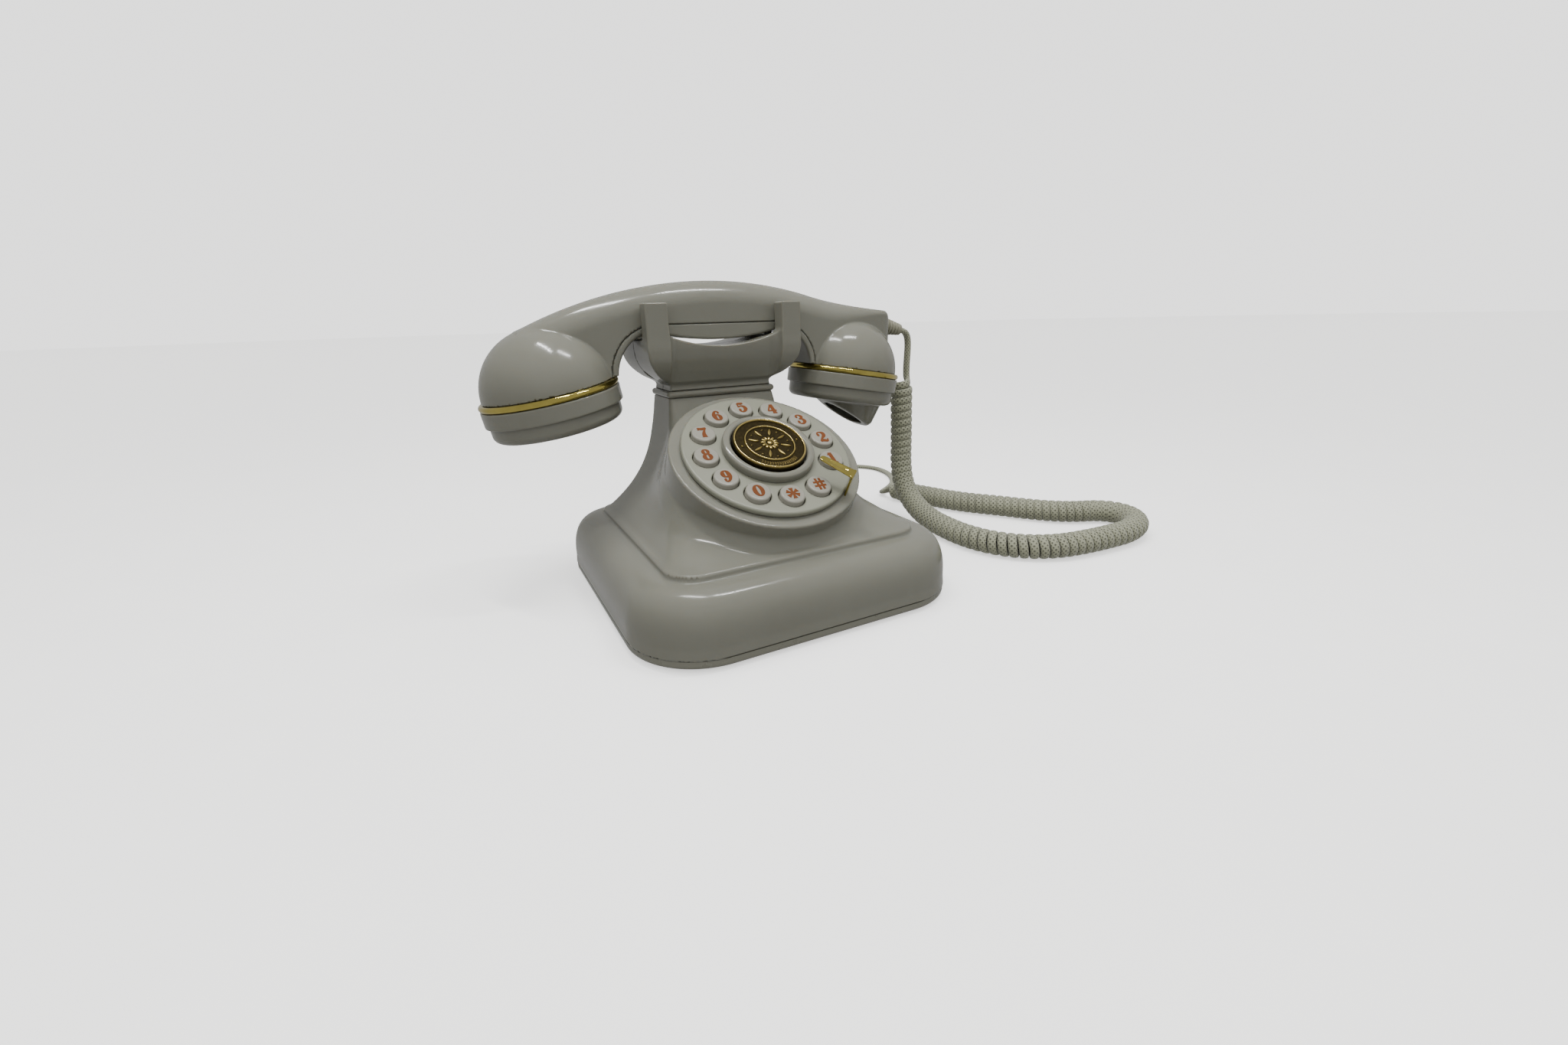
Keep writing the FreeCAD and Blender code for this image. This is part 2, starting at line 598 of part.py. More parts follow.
def handle_slab():
    mid = CRADLE_Y
    slab = side_prism(slab_outline(), mid - HANDLE_HALF_Y, mid + HANDLE_HALF_Y)
    long_edges = []
    for edge in slab.Edges:
        bound = edge.BoundBox
        if bound.YLength < 0.01 and bound.ZMin > 126 and bound.ZMax > 131 and bound.XLength > 1.5:
            long_edges.append(edge)
    slab = slab.makeFillet(HANDLE_ROUND, long_edges)
    plan = plan_prism(HANDLE_END_X, mid - HANDLE_HALF_Y, mid + HANDLE_HALF_Y, HANDLE_END_R, HANDLE_END_R, 95, 160)
    return slab.common(plan)


def below_face(side):
    """Everything past a cup's ring plane, to trim the handle."""
    tool = Part.makeBox(120, 120, 40, Vector(-60, -60, RING_HALF - 40))
    return on_cup(tool, side)


def dome(inset):
    """Part of a ball over the ring plane, with a short foot that meets the ring."""
    radius = DOME_R - inset
    low = RING_HALF + 4.0
    reach = math.sqrt(radius * radius - (low - DOME_CENTRE) ** 2)
    half = radius * math.sqrt(0.5)
    top = DOME_CENTRE + radius
    return turned([(0, RING_HALF), (DOME_FOOT_R - inset, RING_HALF), (reach, low),
                   ((half, DOME_CENTRE + half), (0, top))])


def handset_pieces():
    slab = handle_slab()
    grip_room = side_prism(grip_outline(), CRADLE_Y - 30, CRADLE_Y + 30)
    shell = slab.cut(grip_room)
    grip = slab.common(grip_room)
    for side in (-1, 1):
        shell = shell.cut(below_face(side))
        grip = grip.cut(below_face(side)).cut(on_cup(dome(0), side))
    shell = fuse([shell, on_cup(dome(0), -1), on_cup(dome(0), 1)])
    for side in (-1, 1):
        shell = shell.cut(on_cup(dome(WALL), side))
    mid = CRADLE_Y
    channel = side_prism([(-66, 132), (66, 132), (60, 140.0), ((0, 148.2), (-60, 140.0))], mid - 10.5, mid + 10.5)
    for side in (-1, 1):
        x0, x1 = sorted((side * 62, side * 76))
        channel = channel.fuse(box(x0, x1, mid - 3, mid + 3, 122, 134))
    shell = shell.cut(channel).cut(relief())
    return shell, grip


def relief():
    """Ribbed strain relief on the handset's outer end."""
    along = RELIEF_DIR
    cone = Part.makeCone(4.3, 2.9, RELIEF_LENGTH, RELIEF_START, along)
    ribs = []
    for i in range(5):
        reach = 4.2 + 2.5 * i
        radius = 5.1 - 0.36 * i
        ribs.append(Part.makeCylinder(radius, 1.6, RELIEF_START + along * reach, along))
    return fuse([cone] + ribs)


def cup_ring():
    ring = turned([(29.4, -RING_HALF), (31.6, -RING_HALF), ((CAP_R + 0.1, 0), (31.6, RING_HALF)), (29.4, RING_HALF)])
    return ring


def cap_rim():
    """Rounded edge of a cap's face."""
    return [(31.3, CAP_FACE + 4.0), ((30.3, CAP_FACE + 1.3), (27.4, CAP_FACE))]


def cap_body():
    top = -RING_HALF
    outside = [(0, top), (CAP_R - 0.3, top), (CAP_R, top - 1), (CAP_R, -9.0), (31.3, -9.8), *cap_rim(), (0, CAP_FACE)]
    inside = [(0, top + 1), (28.6, top + 1), (28.6, CAP_FLOOR + 2.7), (26.0, CAP_FLOOR), (0, CAP_FLOOR)]
    cap = turned(outside).cut(turned(inside))
    for hole in holes_in_circle(1.1, 7.0, 6, CAP_FACE - 1, CAP_FLOOR + 1) + [rod(1.1, CAP_FACE - 1, CAP_FLOOR + 1)]:
        cap = cap.cut(hole)
    return cap


def skew_cone(base_x, base_r, tip_x, tip_r, z0, z1):
    low = Part.Wire(Part.makeCircle(base_r, Vector(base_x, 0, z0)))
    high = Part.Wire(Part.makeCircle(tip_r, Vector(tip_x, 0, z1)))
    return Part.makeLoft([low, high], True, True)


def horn():
    """Scoop under the mouthpiece; its oval opening looks towards the other cup."""
    outer = skew_cone(5.6, 21.4, 14.2, 9.6, -15.8, -31.6)
    inner = skew_cone(5.6, 19.2, 14.2, 7.6, -15.8, -29.6)
    rim = side_prism([(-40, -6.4), (22.5, -33.0), (22.5, -60), (-40, -60)], -40, 40)
    return outer.cut(inner).cut(rim)


def capsule(depth):
    top = CAP_FLOOR + depth
    return fuse([rod(14.5, CAP_FLOOR, top), rod(8.0, top, top + 1)])


def mouth_cap():
    cap = cap_body()
    scoop = horn().cut(turned([(0, -10), (31.3, -10), *cap_rim(), (0, CAP_FACE)]))
    return fuse([cap, scoop])


def handset_weight():
    mid = CRADLE_Y
    return box(-34, 34, mid - 8, mid + 8, 132, 138)


# ---------------------------------------------------------------- cord

def tube_path(points):
    """Straight runs joined by tangent arcs as large as the runs allow."""
    spots = [Vector(*p) for p in points]
    edges = []
    here = spots[0]
    tightest = 1e9
    for before, corner, after in zip(spots, spots[1:], spots[2:]):
        back, ahead = before - corner, after - corner
        reach = 0.45 * min(back.Length, ahead.Length)
        back.normalize()
        ahead.normalize()
        start, end = corner + back * reach, corner + ahead * reach
        half_turn = (math.pi - back.getAngle(ahead)) / 2
        radius = reach / math.tan(half_turn)
        tightest = min(tightest, radius)
        to_centre = (back + ahead).normalize()
        middle = corner + to_centre * (math.hypot(radius, reach) - radius)
        edges.append(Part.LineSegment(here, start).toShape())
        edges.append(Part.Arc(start, middle, end).toShape())
        here = end
    edges.append(Part.LineSegment(here, spots[-1]).toShape())
    print("   path length", round(sum(e.Length for e in edges), 1), "tightest radius", round(tightest, 1))
    return Part.Wire(edges)


def tube(points, diameter):
    path = tube_path(points)
    direction = Vector(*points[1]) - Vector(*points[0])
    section = Part.Wire(Part.makeCircle(diameter / 2, Vector(*points[0]), direction))
    swept = path.makePipeShell([section], True, False, 0)
    ideal = math.pi * diameter * diameter / 4 * path.Length
    print("   volume against section times length", round(swept.Volume / ideal, 3))
    return swept


def write_root():
    save("base_shell", base_shell())
    save("base_plate", base_plate())
    save("rubber_feet", rubber_feet())
    save("base_screws", base_screws())
    save("neck_collar", neck_collar())
    block = cradle_block()
    screws = cradle_screws()
    save("cradle_front", cradle_half(block, -1))
    save("cradle_rear", cradle_half(block, 1).cut(screws))
    save("cradle_screws", screws)
    save("dial_plate", dial_plate())
    save("centre_ring", centre_ring())
    save("medallion", medallion())
    save("finger_stop", finger_stop())
    save("keypad_mat", keypad_mat())
    save("keypad_board", keypad_board())
    save("handset_jack", jack(JACK_X, 6.5, 4.1))
    save("line_jack", jack(-JACK_X, 7.5, 5.2))
    save("ringer_switch_housing", ringer_switch_housing())
    save("main_board", main_board())
    save("speaker", speaker())
    save("ballast_plate", ballast_plate())
    save("hook_switch", hook_switch())


def write_moving():
    for name, (x, y) in zip(BUTTON_NAMES, button_spots()):
        save("button_" + name, button(x, y))
    save("hook_yoke", hook_yoke())
    save("ringer_knob", ringer_knob())
    shell, grip = handset_pieces()
    save("handset_shell", shell)
    save("handset_grip", grip)
    save("earpiece_ring", on_cup(cup_ring(), -1))
    save("mouthpiece_ring", on_cup(cup_ring(), 1))
    save("earpiece_cap", on_cup(cap_body(), -1))
    save("mouthpiece_cap", on_cup(mouth_cap(), 1))
    save("receiver_capsule", on_cup(capsule(9.0), -1))
    save("microphone_capsule", on_cup(capsule(5.0), 1))
    save("handset_weight", handset_weight())
    save("strain_relief", relief())


def write_cord():
    save("cord_handset_tail", tube(HANDSET_TAIL, STRAND))
    save("cord_coil", tube(COIL_ROUTE, COIL_D))
    save("cord_base_tail", tube(BASE_TAIL, STRAND))
    save("cord_plug", cord_plug())


os.makedirs("parts", exist_ok=True)
write_root()
write_moving()
write_cord()
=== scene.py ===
"""Looks of a corded desk phone with a push-button dial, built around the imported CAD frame.

Shapes are written in millimetres in the CAD frame and become metres in add_mesh().
"""
import json
from math import asin, atan2, cos, dist, pi, radians, sin, sqrt

import bpy
import numpy as np
from mathutils import Matrix, Vector

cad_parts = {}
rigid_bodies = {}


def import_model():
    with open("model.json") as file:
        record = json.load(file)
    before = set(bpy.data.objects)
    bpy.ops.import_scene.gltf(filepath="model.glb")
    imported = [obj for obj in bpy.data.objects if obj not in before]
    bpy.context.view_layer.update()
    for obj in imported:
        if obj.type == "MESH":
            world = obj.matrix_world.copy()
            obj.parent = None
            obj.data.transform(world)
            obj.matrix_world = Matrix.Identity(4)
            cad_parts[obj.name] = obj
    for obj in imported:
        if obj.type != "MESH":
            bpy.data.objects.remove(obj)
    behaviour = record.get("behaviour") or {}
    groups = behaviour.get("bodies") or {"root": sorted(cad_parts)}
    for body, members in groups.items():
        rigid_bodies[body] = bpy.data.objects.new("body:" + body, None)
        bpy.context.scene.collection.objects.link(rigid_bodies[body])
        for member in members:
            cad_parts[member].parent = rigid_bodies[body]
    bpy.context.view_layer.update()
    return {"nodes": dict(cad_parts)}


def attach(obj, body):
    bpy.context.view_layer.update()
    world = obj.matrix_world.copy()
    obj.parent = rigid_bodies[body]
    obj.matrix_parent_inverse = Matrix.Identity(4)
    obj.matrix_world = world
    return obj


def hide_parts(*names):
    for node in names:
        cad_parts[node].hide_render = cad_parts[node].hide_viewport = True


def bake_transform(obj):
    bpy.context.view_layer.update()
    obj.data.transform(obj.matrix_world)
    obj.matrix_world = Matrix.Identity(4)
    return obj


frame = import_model()
MM = 0.001

# -------- sizes shared with the CAD (mm)
PLINTH_X, PLINTH_Y, PLINTH_R, PLINTH_BACK_R = 81.0, 81.0, 35.0, 27.0
SEAM_Z, WALL_TOP_Z, SHOULDER_Z, STEP_TOP_Z = 5.0, 10.0, 31.4, 34.2
SHOULDER_INSET, SHOULDER_POWER, WALL_DRAFT = 16.0, 2.6, 0.4
STEP_X, STEP_FRONT, STEP_BACK, STEP_R, STEP_BACK_R = 63.0, -62.8, 63.0, 14.0, 8.0
WALL = 2.4
NECK_X, NECK_HALF_Y, NECK_TOP_Z, COLLAR_TOP_Z = 29.0, 13.4, 94.2, 97.6
CRADLE_Y = 40.3
CUP_Z, CUP_TOP_Z, PRONG_TOP_Z = 101.2, 117.5, 140.2
PRONG_OUT_X, PRONG_IN_X, PRONG_OUT_Y, PRONG_IN_Y = 41.7, 30.3, 25.0, 16.2
SADDLE_Z, SADDLE_END_Z, POCKET_Z = 119.5, 125.2, 123.4
DIAL_CENTRE, DIAL_TILT = (0.0, -24.5, 74.2), radians(30.7)
FLANGE_R, FLANGE_H, PLATE_R, PLATE_H = 46.5, -5.1, 41.0, -2.0
BUTTON_CIRCLE_R, BUTTON_R, BUTTON_FIRST, BUTTON_STEP = 31.0, 5.75, -24.42, 29.06
BUTTON_NAMES = [*"1234567890", "star", "hash"]
RING_R, MEDALLION_R = 22.3, 17.9
STOP_ANGLE, STOP_R, STOP_H = radians(-50.0), 42.0, 7.6
CUP_X, CUP_CENTRE_Z, CUP_TILT, CAP_R, RING_HALF = 84.8, 100.3, radians(9.57), 33.0, 1.6
DOME_R, DOME_CENTRE, DOME_FOOT_R = 30.3, 0.6, 31.2
HANDLE_HALF_Y, HANDLE_TOP_Z, HANDLE_ARC_R, HANDLE_ROUND, BELLY_Z = 14.0, 151.1, 221.0, 11.5, 122.3
HANDLE_END_X, HANDLE_END_R = 112.4, 10.0
CAP_FACE = -17.3
RELIEF_START, RELIEF_DIR, RELIEF_LENGTH = (109.6, CRADLE_Y, 126.4), (0.978, 0.0, -0.208), 17.5
JACK_X, JACK_Z, SWITCH_Z = 57.0, 12.0, 12.5

DIAL = Matrix.Translation(DIAL_CENTRE) @ Matrix.Rotation(DIAL_TILT, 4, "X")
CUPS = {side: Matrix.Translation((side * CUP_X, CRADLE_Y, CUP_CENTRE_Z))
        @ Matrix.Rotation(side * CUP_TILT, 4, "Y") for side in (-1, 1)}


# -------- camera, light and floor

def add_camera():
    yaw, pitch, roll = radians(28.0), radians(18.445), radians(-1.494)
    turn = (Matrix.Rotation(-yaw, 4, "Z") @ Matrix.Rotation(pi / 2 - pitch, 4, "X")
            @ Matrix.Rotation(roll, 4, "Z"))
    data = bpy.data.cameras.new("camera")
    data.lens, data.sensor_width, data.clip_start = 14.27, 36.0, 0.01
    camera = bpy.data.objects.new("camera", data)
    camera.matrix_world = Matrix.Translation(Vector((-130.1, -282.7, 133.2)) * MM) @ turn
    bpy.context.collection.objects.link(camera)
    bpy.context.scene.camera = camera


SKY_TOP, AROUND, FROM_BELOW, BACKDROP, FLOOR_GLOW = 0.40, 0.53, 0.40, 2.05, 0.85
PALE = (1.0, 0.995, 0.985, 1)
TUBE_WIDTH, BACKDROP_R, BACKDROP_HEIGHT = 0.018, 9.0, 12.0


def add_light(name, kind, energy, turn, location=(0, 0, 0), in_gloss=True, **settings):
    data = bpy.data.lights.new(name, kind)
    data.energy = energy
    for key, value in settings.items():
        setattr(data, key, value)
    light = bpy.data.objects.new(name, data)
    light.location, light.rotation_euler, light.visible_glossy = location, turn, in_gloss
    bpy.context.collection.objects.link(light)


def tube_light(name, start, end, power):
    """Short strip light that shines downwards, seen as a streak in glossy plastic."""
    turn = (0, 0, atan2(end[1] - start[1], end[0] - start[0]))
    add_light(name, "AREA", power, turn, (Vector(start) + Vector(end)) / 2,
              shape="RECTANGLE", size=dist(start, end), size_y=TUBE_WIDTH)


def aimed(direction):
    """Turn of a light that shines against this direction."""
    return Vector(direction).to_track_quat("Z", "Y").to_euler()


def add_stage():
    world = bpy.data.worlds.new("studio")
    world.use_nodes = True
    tree = world.node_tree
    background = tree.nodes["Background"]
    where = tree.nodes.new("ShaderNodeTexCoord")
    split = tree.nodes.new("ShaderNodeSeparateXYZ")
    tree.links.new(where.outputs["Generated"], split.inputs[0])
    sky = tree.nodes.new("ShaderNodeMapRange")
    sky.interpolation_type = "SMOOTHSTEP"
    for socket, value in zip(("From Min", "From Max", "To Min", "To Max"), (0.3, 1.0, AROUND, SKY_TOP)):
        sky.inputs[socket].default_value = value
    tree.links.new(split.outputs["Z"], sky.inputs["Value"])
    below = tree.nodes.new("ShaderNodeMapRange")
    for socket, value in zip(("From Min", "From Max", "To Min", "To Max"), (-0.5, 0.0, FROM_BELOW, AROUND)):
        below.inputs[socket].default_value = value
    tree.links.new(split.outputs["Z"], below.inputs["Value"])
    brightest = tree.nodes.new("ShaderNodeMath")
    brightest.operation = "MAXIMUM"
    tree.links.new(sky.outputs["Result"], brightest.inputs[0])
    tree.links.new(below.outputs["Result"], brightest.inputs[1])
    background.inputs["Color"].default_value = (1.0, 0.995, 0.975, 1)
    tree.links.new(brightest.outputs["Value"], background.inputs["Strength"])
    bpy.context.scene.world = world
    # the soft lights aren't seen in the gloss, which shows the two tubes
    add_light("ceiling", "SUN", 3.3, aimed((-0.1, -0.32, 1)), in_gloss=False, angle=radians(105))
    tube_light("tube_left", (-0.130, 0.110, 0.56), (-0.030, -0.072, 0.56), 1.3)
    tube_light("tube_right", (0.046, -0.054, 0.56), (0.198, -0.103, 0.56), 1.05)
    fill = Vector((-0.45, -1.25, 0.22))
    add_light("front_fill", "AREA", 3.6, aimed(fill - Vector((0, 0, 0.08))), fill, in_gloss=False, size=1.0)
    bpy.ops.mesh.primitive_plane_add(size=80.0, location=(0, 0, 0))
    floor = bpy.context.object
    # the backdrop's foot is just under the floor
    bpy.ops.mesh.primitive_cylinder_add(vertices=128, radius=BACKDROP_R, depth=BACKDROP_HEIGHT,
                                        end_fill_type="NOTHING", location=(0, 0, BACKDROP_HEIGHT / 2 - 0.05))
    backdrop = bpy.context.object
    # both throw no light on the object: the floor only takes its shadow
    for piece, name in ((floor, "floor"), (backdrop, "backdrop")):
        piece.name = name
        piece.data.materials.append(MATERIALS[name])
        piece.visible_diffuse = piece.visible_glossy = False


# -------- materials

def set_inputs(material, **values):
    """Numbers and colours on the shader's own sockets; _ in a name stands for a space."""
    bsdf = material.node_tree.nodes["Principled BSDF"]
    for key, value in values.items():
        bsdf.inputs[key.replace("_", " ")].default_value = value


def shader(name, color, roughness, **values):
    material = bpy.data.materials.new(name)
    material.use_nodes = True
    set_inputs(material, Base_Color=(*color, 1), Roughness=roughness, **values)
    return material


def node(material, kind, **values):
    made = material.node_tree.nodes.new("ShaderNode" + kind)
    for key, value in values.items():
        if key in ("operation", "attribute_name", "uv_map"):
            setattr(made, key, value)
        else:
            made.inputs[key.replace("_", " ")].default_value = value
    return made


def link(material, source, output, socket, target=None):
    """Joins two nodes; without a target, the socket is the shader's."""
    target = target or material.node_tree.nodes["Principled BSDF"]
    material.node_tree.links.new(source.outputs[output], target.inputs[socket])


def noise(material, scale, detail=3.0, roughness=0.5):
    made = node(material, "TexNoise", Scale=scale, Detail=detail, Roughness=roughness)
    link(material, node(material, "TexCoord"), "Object", "Vector", made)
    return made


def ramp(material, source, socket, stops):
    """Feeds a socket of the shader through a colour ramp; a stop is a place and a colour or a grey."""
    made = node(material, "ValToRGB")
    elements = made.color_ramp.elements
    for i, (place, value) in enumerate([stops[0], stops[-1]] + stops[1:-1]):
        element = elements[i] if i < 2 else elements.new(place)
        color = value if isinstance(value, tuple) else (value,) * 3
        element.position, element.color = place, (*color, 1)
    link(material, source, 0, "Fac", made)
    link(material, made, "Color", socket)


def bump(material, source, strength, distance):
    made = node(material, "Bump", Strength=strength, Distance=distance)
    link(material, source, 0, "Height", made)
    link(material, made, "Normal", "Normal")


def moulded(name, light, dark, roughness, coat=0.0, grain=0.0):
    """Moulded plastic: slow tone drift, uneven gloss and a faint orange-peel surface."""
    material = shader(name, light, roughness[0], Coat_Weight=coat, Coat_Roughness=0.06, IOR=1.4)
    ramp(material, noise(material, 14.0, 4.0), "Base Color", [(0.3, dark), (0.7, light)])
    ramp(material, noise(material, 55.0, 5.0, 0.6), "Roughness", [(0.35, roughness[0]), (0.75, roughness[1])])
    bump(material, noise(material, 420.0 if not grain else 2600.0, 2.0), 0.02 + grain, 0.0004)
    return material


def metal(name, color, dark, roughness, grain):
    material = shader(name, color, roughness[0], Metallic=1.0)
    ramp(material, noise(material, 130.0, 4.0), "Base Color", [(0.25, dark), (0.65, color)])
    ramp(material, noise(material, 500.0, 3.0), "Roughness", [(0.3, roughness[0]), (0.8, roughness[1])])
    bump(material, noise(material, 1500.0, 2.0), grain, 0.0002)
    return material


def antique():
    """Dark field and bright high spots, from the relief height stored on the mesh."""
    material = shader("antique_brass", (0.3, 0.2, 0.08), 0.35, Metallic=1.0)
    height = node(material, "Attribute", attribute_name="relief")
    patina = noise(material, 700.0, 5.0, 0.65)
    mix = node(material, "Math", operation="MULTIPLY_ADD")
    link(material, patina, "Fac", 0, mix)
    mix.inputs[1].default_value = 0.28
    link(material, height, "Fac", 2, mix)
    ramp(material, mix, "Base Color", [(0.12, (0.022, 0.017, 0.007)), (0.42, (0.085, 0.063, 0.022)),
                                       (0.75, (0.32, 0.24, 0.075)), (1.0, (0.60, 0.47, 0.17))])
    ramp(material, mix, "Roughness", [(0.2, 0.46), (0.9, 0.24)])
    bump(material, patina, 0.12, 0.0002)
    return material


def braided():
    """Fine sleeve woven round the strand: two sets of threads crossing, from the strand's own coordinates."""
    light, dark = (0.235, 0.240, 0.165), (0.050, 0.051, 0.032)
    material = shader("cord_braid", light, 0.62, Sheen_Weight=0.25, Sheen_Roughness=0.5)
    where = node(material, "UVMap", uv_map="strand")
    waves = []
    for turn in (0.82, -0.82):
        place = node(material, "Mapping")
        place.inputs["Rotation"].default_value = (0, 0, turn)
        link(material, where, "UV", "Vector", place)
        wave = node(material, "TexWave", Scale=0.21, Distortion=0.35, Detail=1.0)
        link(material, place, "Vector", "Vector", wave)
        waves.append(wave)
    weave = node(material, "Math", operation="MAXIMUM")
    link(material, waves[0], "Fac", 0, weave)
    link(material, waves[1], "Fac", 1, weave)
    mixed = node(material, "Math", operation="MULTIPLY_ADD")
    link(material, noise(material, 60.0, 4.0), "Fac", 0, mixed)
    mixed.inputs[1].default_value = 0.5
    link(material, weave, "Value", 2, mixed)
    ramp(material, mixed, "Base Color", [(0.35, dark), (1.1, light)])
    bump(material, weave, 0.55, 0.0003)
    return material


def make_materials():
    made = {
        "ivory": moulded("ivory_plastic", (0.163, 0.163, 0.135), (0.152, 0.151, 0.124), (0.13, 0.22)),
        "ivory_base": moulded("base_plastic", (0.147, 0.145, 0.117), (0.135, 0.134, 0.107), (0.26, 0.36)),
        "cream": moulded("cream_plastic", (0.189, 0.193, 0.150), (0.175, 0.178, 0.138), (0.28, 0.40)),
        "button": moulded("button_plastic", (0.224, 0.217, 0.182), (0.212, 0.205, 0.172), (0.16, 0.26)),
        "ink": moulded("orange_ink", (0.137, 0.045, 0.015), (0.113, 0.036, 0.011), (0.55, 0.7)),
        "dark": moulded("dark_plastic", (0.045, 0.045, 0.045), (0.03, 0.03, 0.03), (0.4, 0.55), grain=0.1),
        "rubber": moulded("rubber", (0.05, 0.05, 0.05), (0.035, 0.035, 0.035), (0.6, 0.75), grain=0.15),
        "relief": moulded("relief_rubber", (0.201, 0.196, 0.144), (0.175, 0.170, 0.123), (0.34, 0.46), 0.05),
        "board": moulded("circuit_board", (0.05, 0.17, 0.07), (0.035, 0.12, 0.05), (0.3, 0.4), 0.1),
        "clear": moulded("clear_plastic", (0.62, 0.62, 0.58), (0.55, 0.55, 0.5), (0.08, 0.16), 0.2),
        "steel": metal("steel", (0.55, 0.55, 0.56), (0.42, 0.42, 0.43), (0.28, 0.42), 0.06),
        "gold": metal("polished_gold", (0.52, 0.43, 0.115), (0.40, 0.33, 0.085), (0.07, 0.14), 0.015),
        "antique": antique(),
        "braid": braided(),
        "backdrop": shader("backdrop", (0.0, 0.0, 0.0), 1.0, Emission_Color=PALE, Emission_Strength=BACKDROP,
                           Specular_IOR_Level=0.0),
        "floor": moulded("floor", (0.84, 0.84, 0.83), (0.82, 0.82, 0.81), (0.55, 0.7)),
    }
    set_inputs(made["floor"], Emission_Color=PALE, Emission_Strength=FLOOR_GLOW)
    set_inputs(made["ivory"], Subsurface_Weight=0.3, Subsurface_Scale=0.004, Subsurface_Radius=(1.0, 0.7, 0.45))
    set_inputs(made["ink"], Specular_IOR_Level=0.12)
    set_inputs(made["clear"], Transmission_Weight=0.5)
    return made


# -------- meshes


def unit(rows):
    return rows / np.maximum(np.linalg.norm(rows, axis=-1, keepdims=True), 1e-9)


def ease(t):
    t = np.clip(t, 0, 1)
    return t * t * (3 - 2 * t)


def add_mesh(name, points, faces, body, material, replaces=(), place=None, normals=None):
    """points in mm. faces is an array of quads or a list of tuples."""
    mesh = bpy.data.meshes.new(name)
    points = np.asarray(points, float)
    if place is not None:
        turn = np.array(place.to_3x3())
        points = points @ turn.T + np.array(place.translation)
        normals = None if normals is None else normals @ turn.T
    mesh.from_pydata((points * MM).tolist(), [], faces.tolist() if isinstance(faces, np.ndarray) else faces)
    mesh.validate()
    mesh.shade_smooth()
    if normals is not None:
        mesh.normals_split_custom_set_from_vertices(normals.tolist())
    piece = bpy.data.objects.new(name, mesh)
    bpy.context.collection.objects.link(piece)
    mesh.materials.append(MATERIALS[material])
    if body:
        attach(piece, body)
    if replaces:
        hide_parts(*replaces)
    return piece


def surface(f, low, high, step):
    """Points, quads and normals of the surface f = 0, one point in each grid cell that it passes through."""
    low = np.array(low, float)
    size = np.ceil((np.array(high) - low) / step).astype(int) + 1
    xs, ys = np.meshgrid(low[0] + step * np.arange(size[0]), low[1] + step * np.arange(size[1]), indexing="ij")
    value = np.empty(tuple(size), np.float32)
    for k in range(size[2]):
        value[:, :, k] = f(xs, ys, np.full_like(xs, low[2] + step * k))
    inside = value < 0
    cells = size - 1
    corners = [(a, b, c) for a in (0, 1) for b in (0, 1) for c in (0, 1)]
    count = sum(inside[a:cells[0] + a, b:cells[1] + b, c:cells[2] + c].astype(np.int8) for a, b, c in corners)
    active = np.argwhere((count > 0) & (count < 8))
    index = np.full(tuple(cells), -1, np.int32)
    index[tuple(active.T)] = np.arange(len(active))
    total, hits = np.zeros((len(active), 3)), np.zeros(len(active))
    along_axis = np.eye(3, dtype=int)
    for axis in range(3):
        u, w = [i for i in range(3) if i != axis]
        for b, c in ((0, 0), (0, 1), (1, 0), (1, 1)):
            start = active + b * along_axis[u] + c * along_axis[w]
            end = start + along_axis[axis]
            v0, v1 = value[tuple(start.T)].astype(float), value[tuple(end.T)].astype(float)
            cross = (v0 < 0) != (v1 < 0)
            along = np.where(cross, v0 / np.where(cross, v0 - v1, 1), 0)
            point = start.astype(float)
            point[:, axis] += along
            total += point * cross[:, None]
            hits += cross
    points = low + step * total / hits[:, None]
    quads = []
    for axis in range(3):
        u, w = (axis + 1) % 3, (axis + 2) % 3
        first = np.take(inside, range(size[axis] - 1), axis)
        second = np.take(inside, range(1, size[axis]), axis)
        edges = np.argwhere(first != second)
        keep = (edges[:, u] > 0) & (edges[:, w] > 0) & (edges[:, u] < cells[u]) & (edges[:, w] < cells[w])
        edges = edges[keep]
        ring = np.stack([index[tuple((edges - du * along_axis[u] - dw * along_axis[w]).T)]
                         for du, dw in ((0, 0), (1, 0), (1, 1), (0, 1))], 1)
        outward = inside[tuple(edges.T)]
        quads.append(np.where(outward[:, None], ring, ring[:, ::-1]))
    for _ in range(3):
        gradient = slope(f, points)
        move = f(*points.T)[:, None] * gradient / np.maximum((gradient ** 2).sum(1), 0.05)[:, None]
        far = np.linalg.norm(move, axis=1, keepdims=True)
        points = points - move * np.minimum(1, 0.5 * step / np.maximum(far, 1e-9))
    return points, np.concatenate(quads), unit(slope(f, points))


def slope(f, points, reach=0.04):
    return np.stack([(f(*(points + reach * step).T) - f(*(points - reach * step).T)) / (2 * reach)
                     for step in np.eye(3)], 1)


def skin(name, f, low, high, step, body, material, replaces=(), place=None):
    points, quads, normals = surface(f, low, high, step)
    return add_mesh(name, points, quads, body, material, replaces, place, normals)


def lathe(profile, count=160, closed=False):
    """Turn (radius, height) pairs about Z. Ends at radius 0 become single points."""
    points, faces, rings = [], [], []
    for radius, height in profile:
        spots = 1 if radius < 1e-6 else count
        rings.append(range(len(points), len(points) + spots))
        for i in range(spots):
            angle = 2 * pi * i / count
            points.append((radius * cos(angle), radius * sin(angle), height))
    pairs = list(zip(rings, rings[1:]))
    if closed:
        pairs.append((rings[-1], rings[0]))
    for low, high in pairs:
        for i in range(count):
            j = (i + 1) % count
            corners = (low[i % len(low)], low[j % len(low)], high[j % len(high)], high[i % len(high)])
            faces.append(tuple(dict.fromkeys(corners)))
    return points, faces


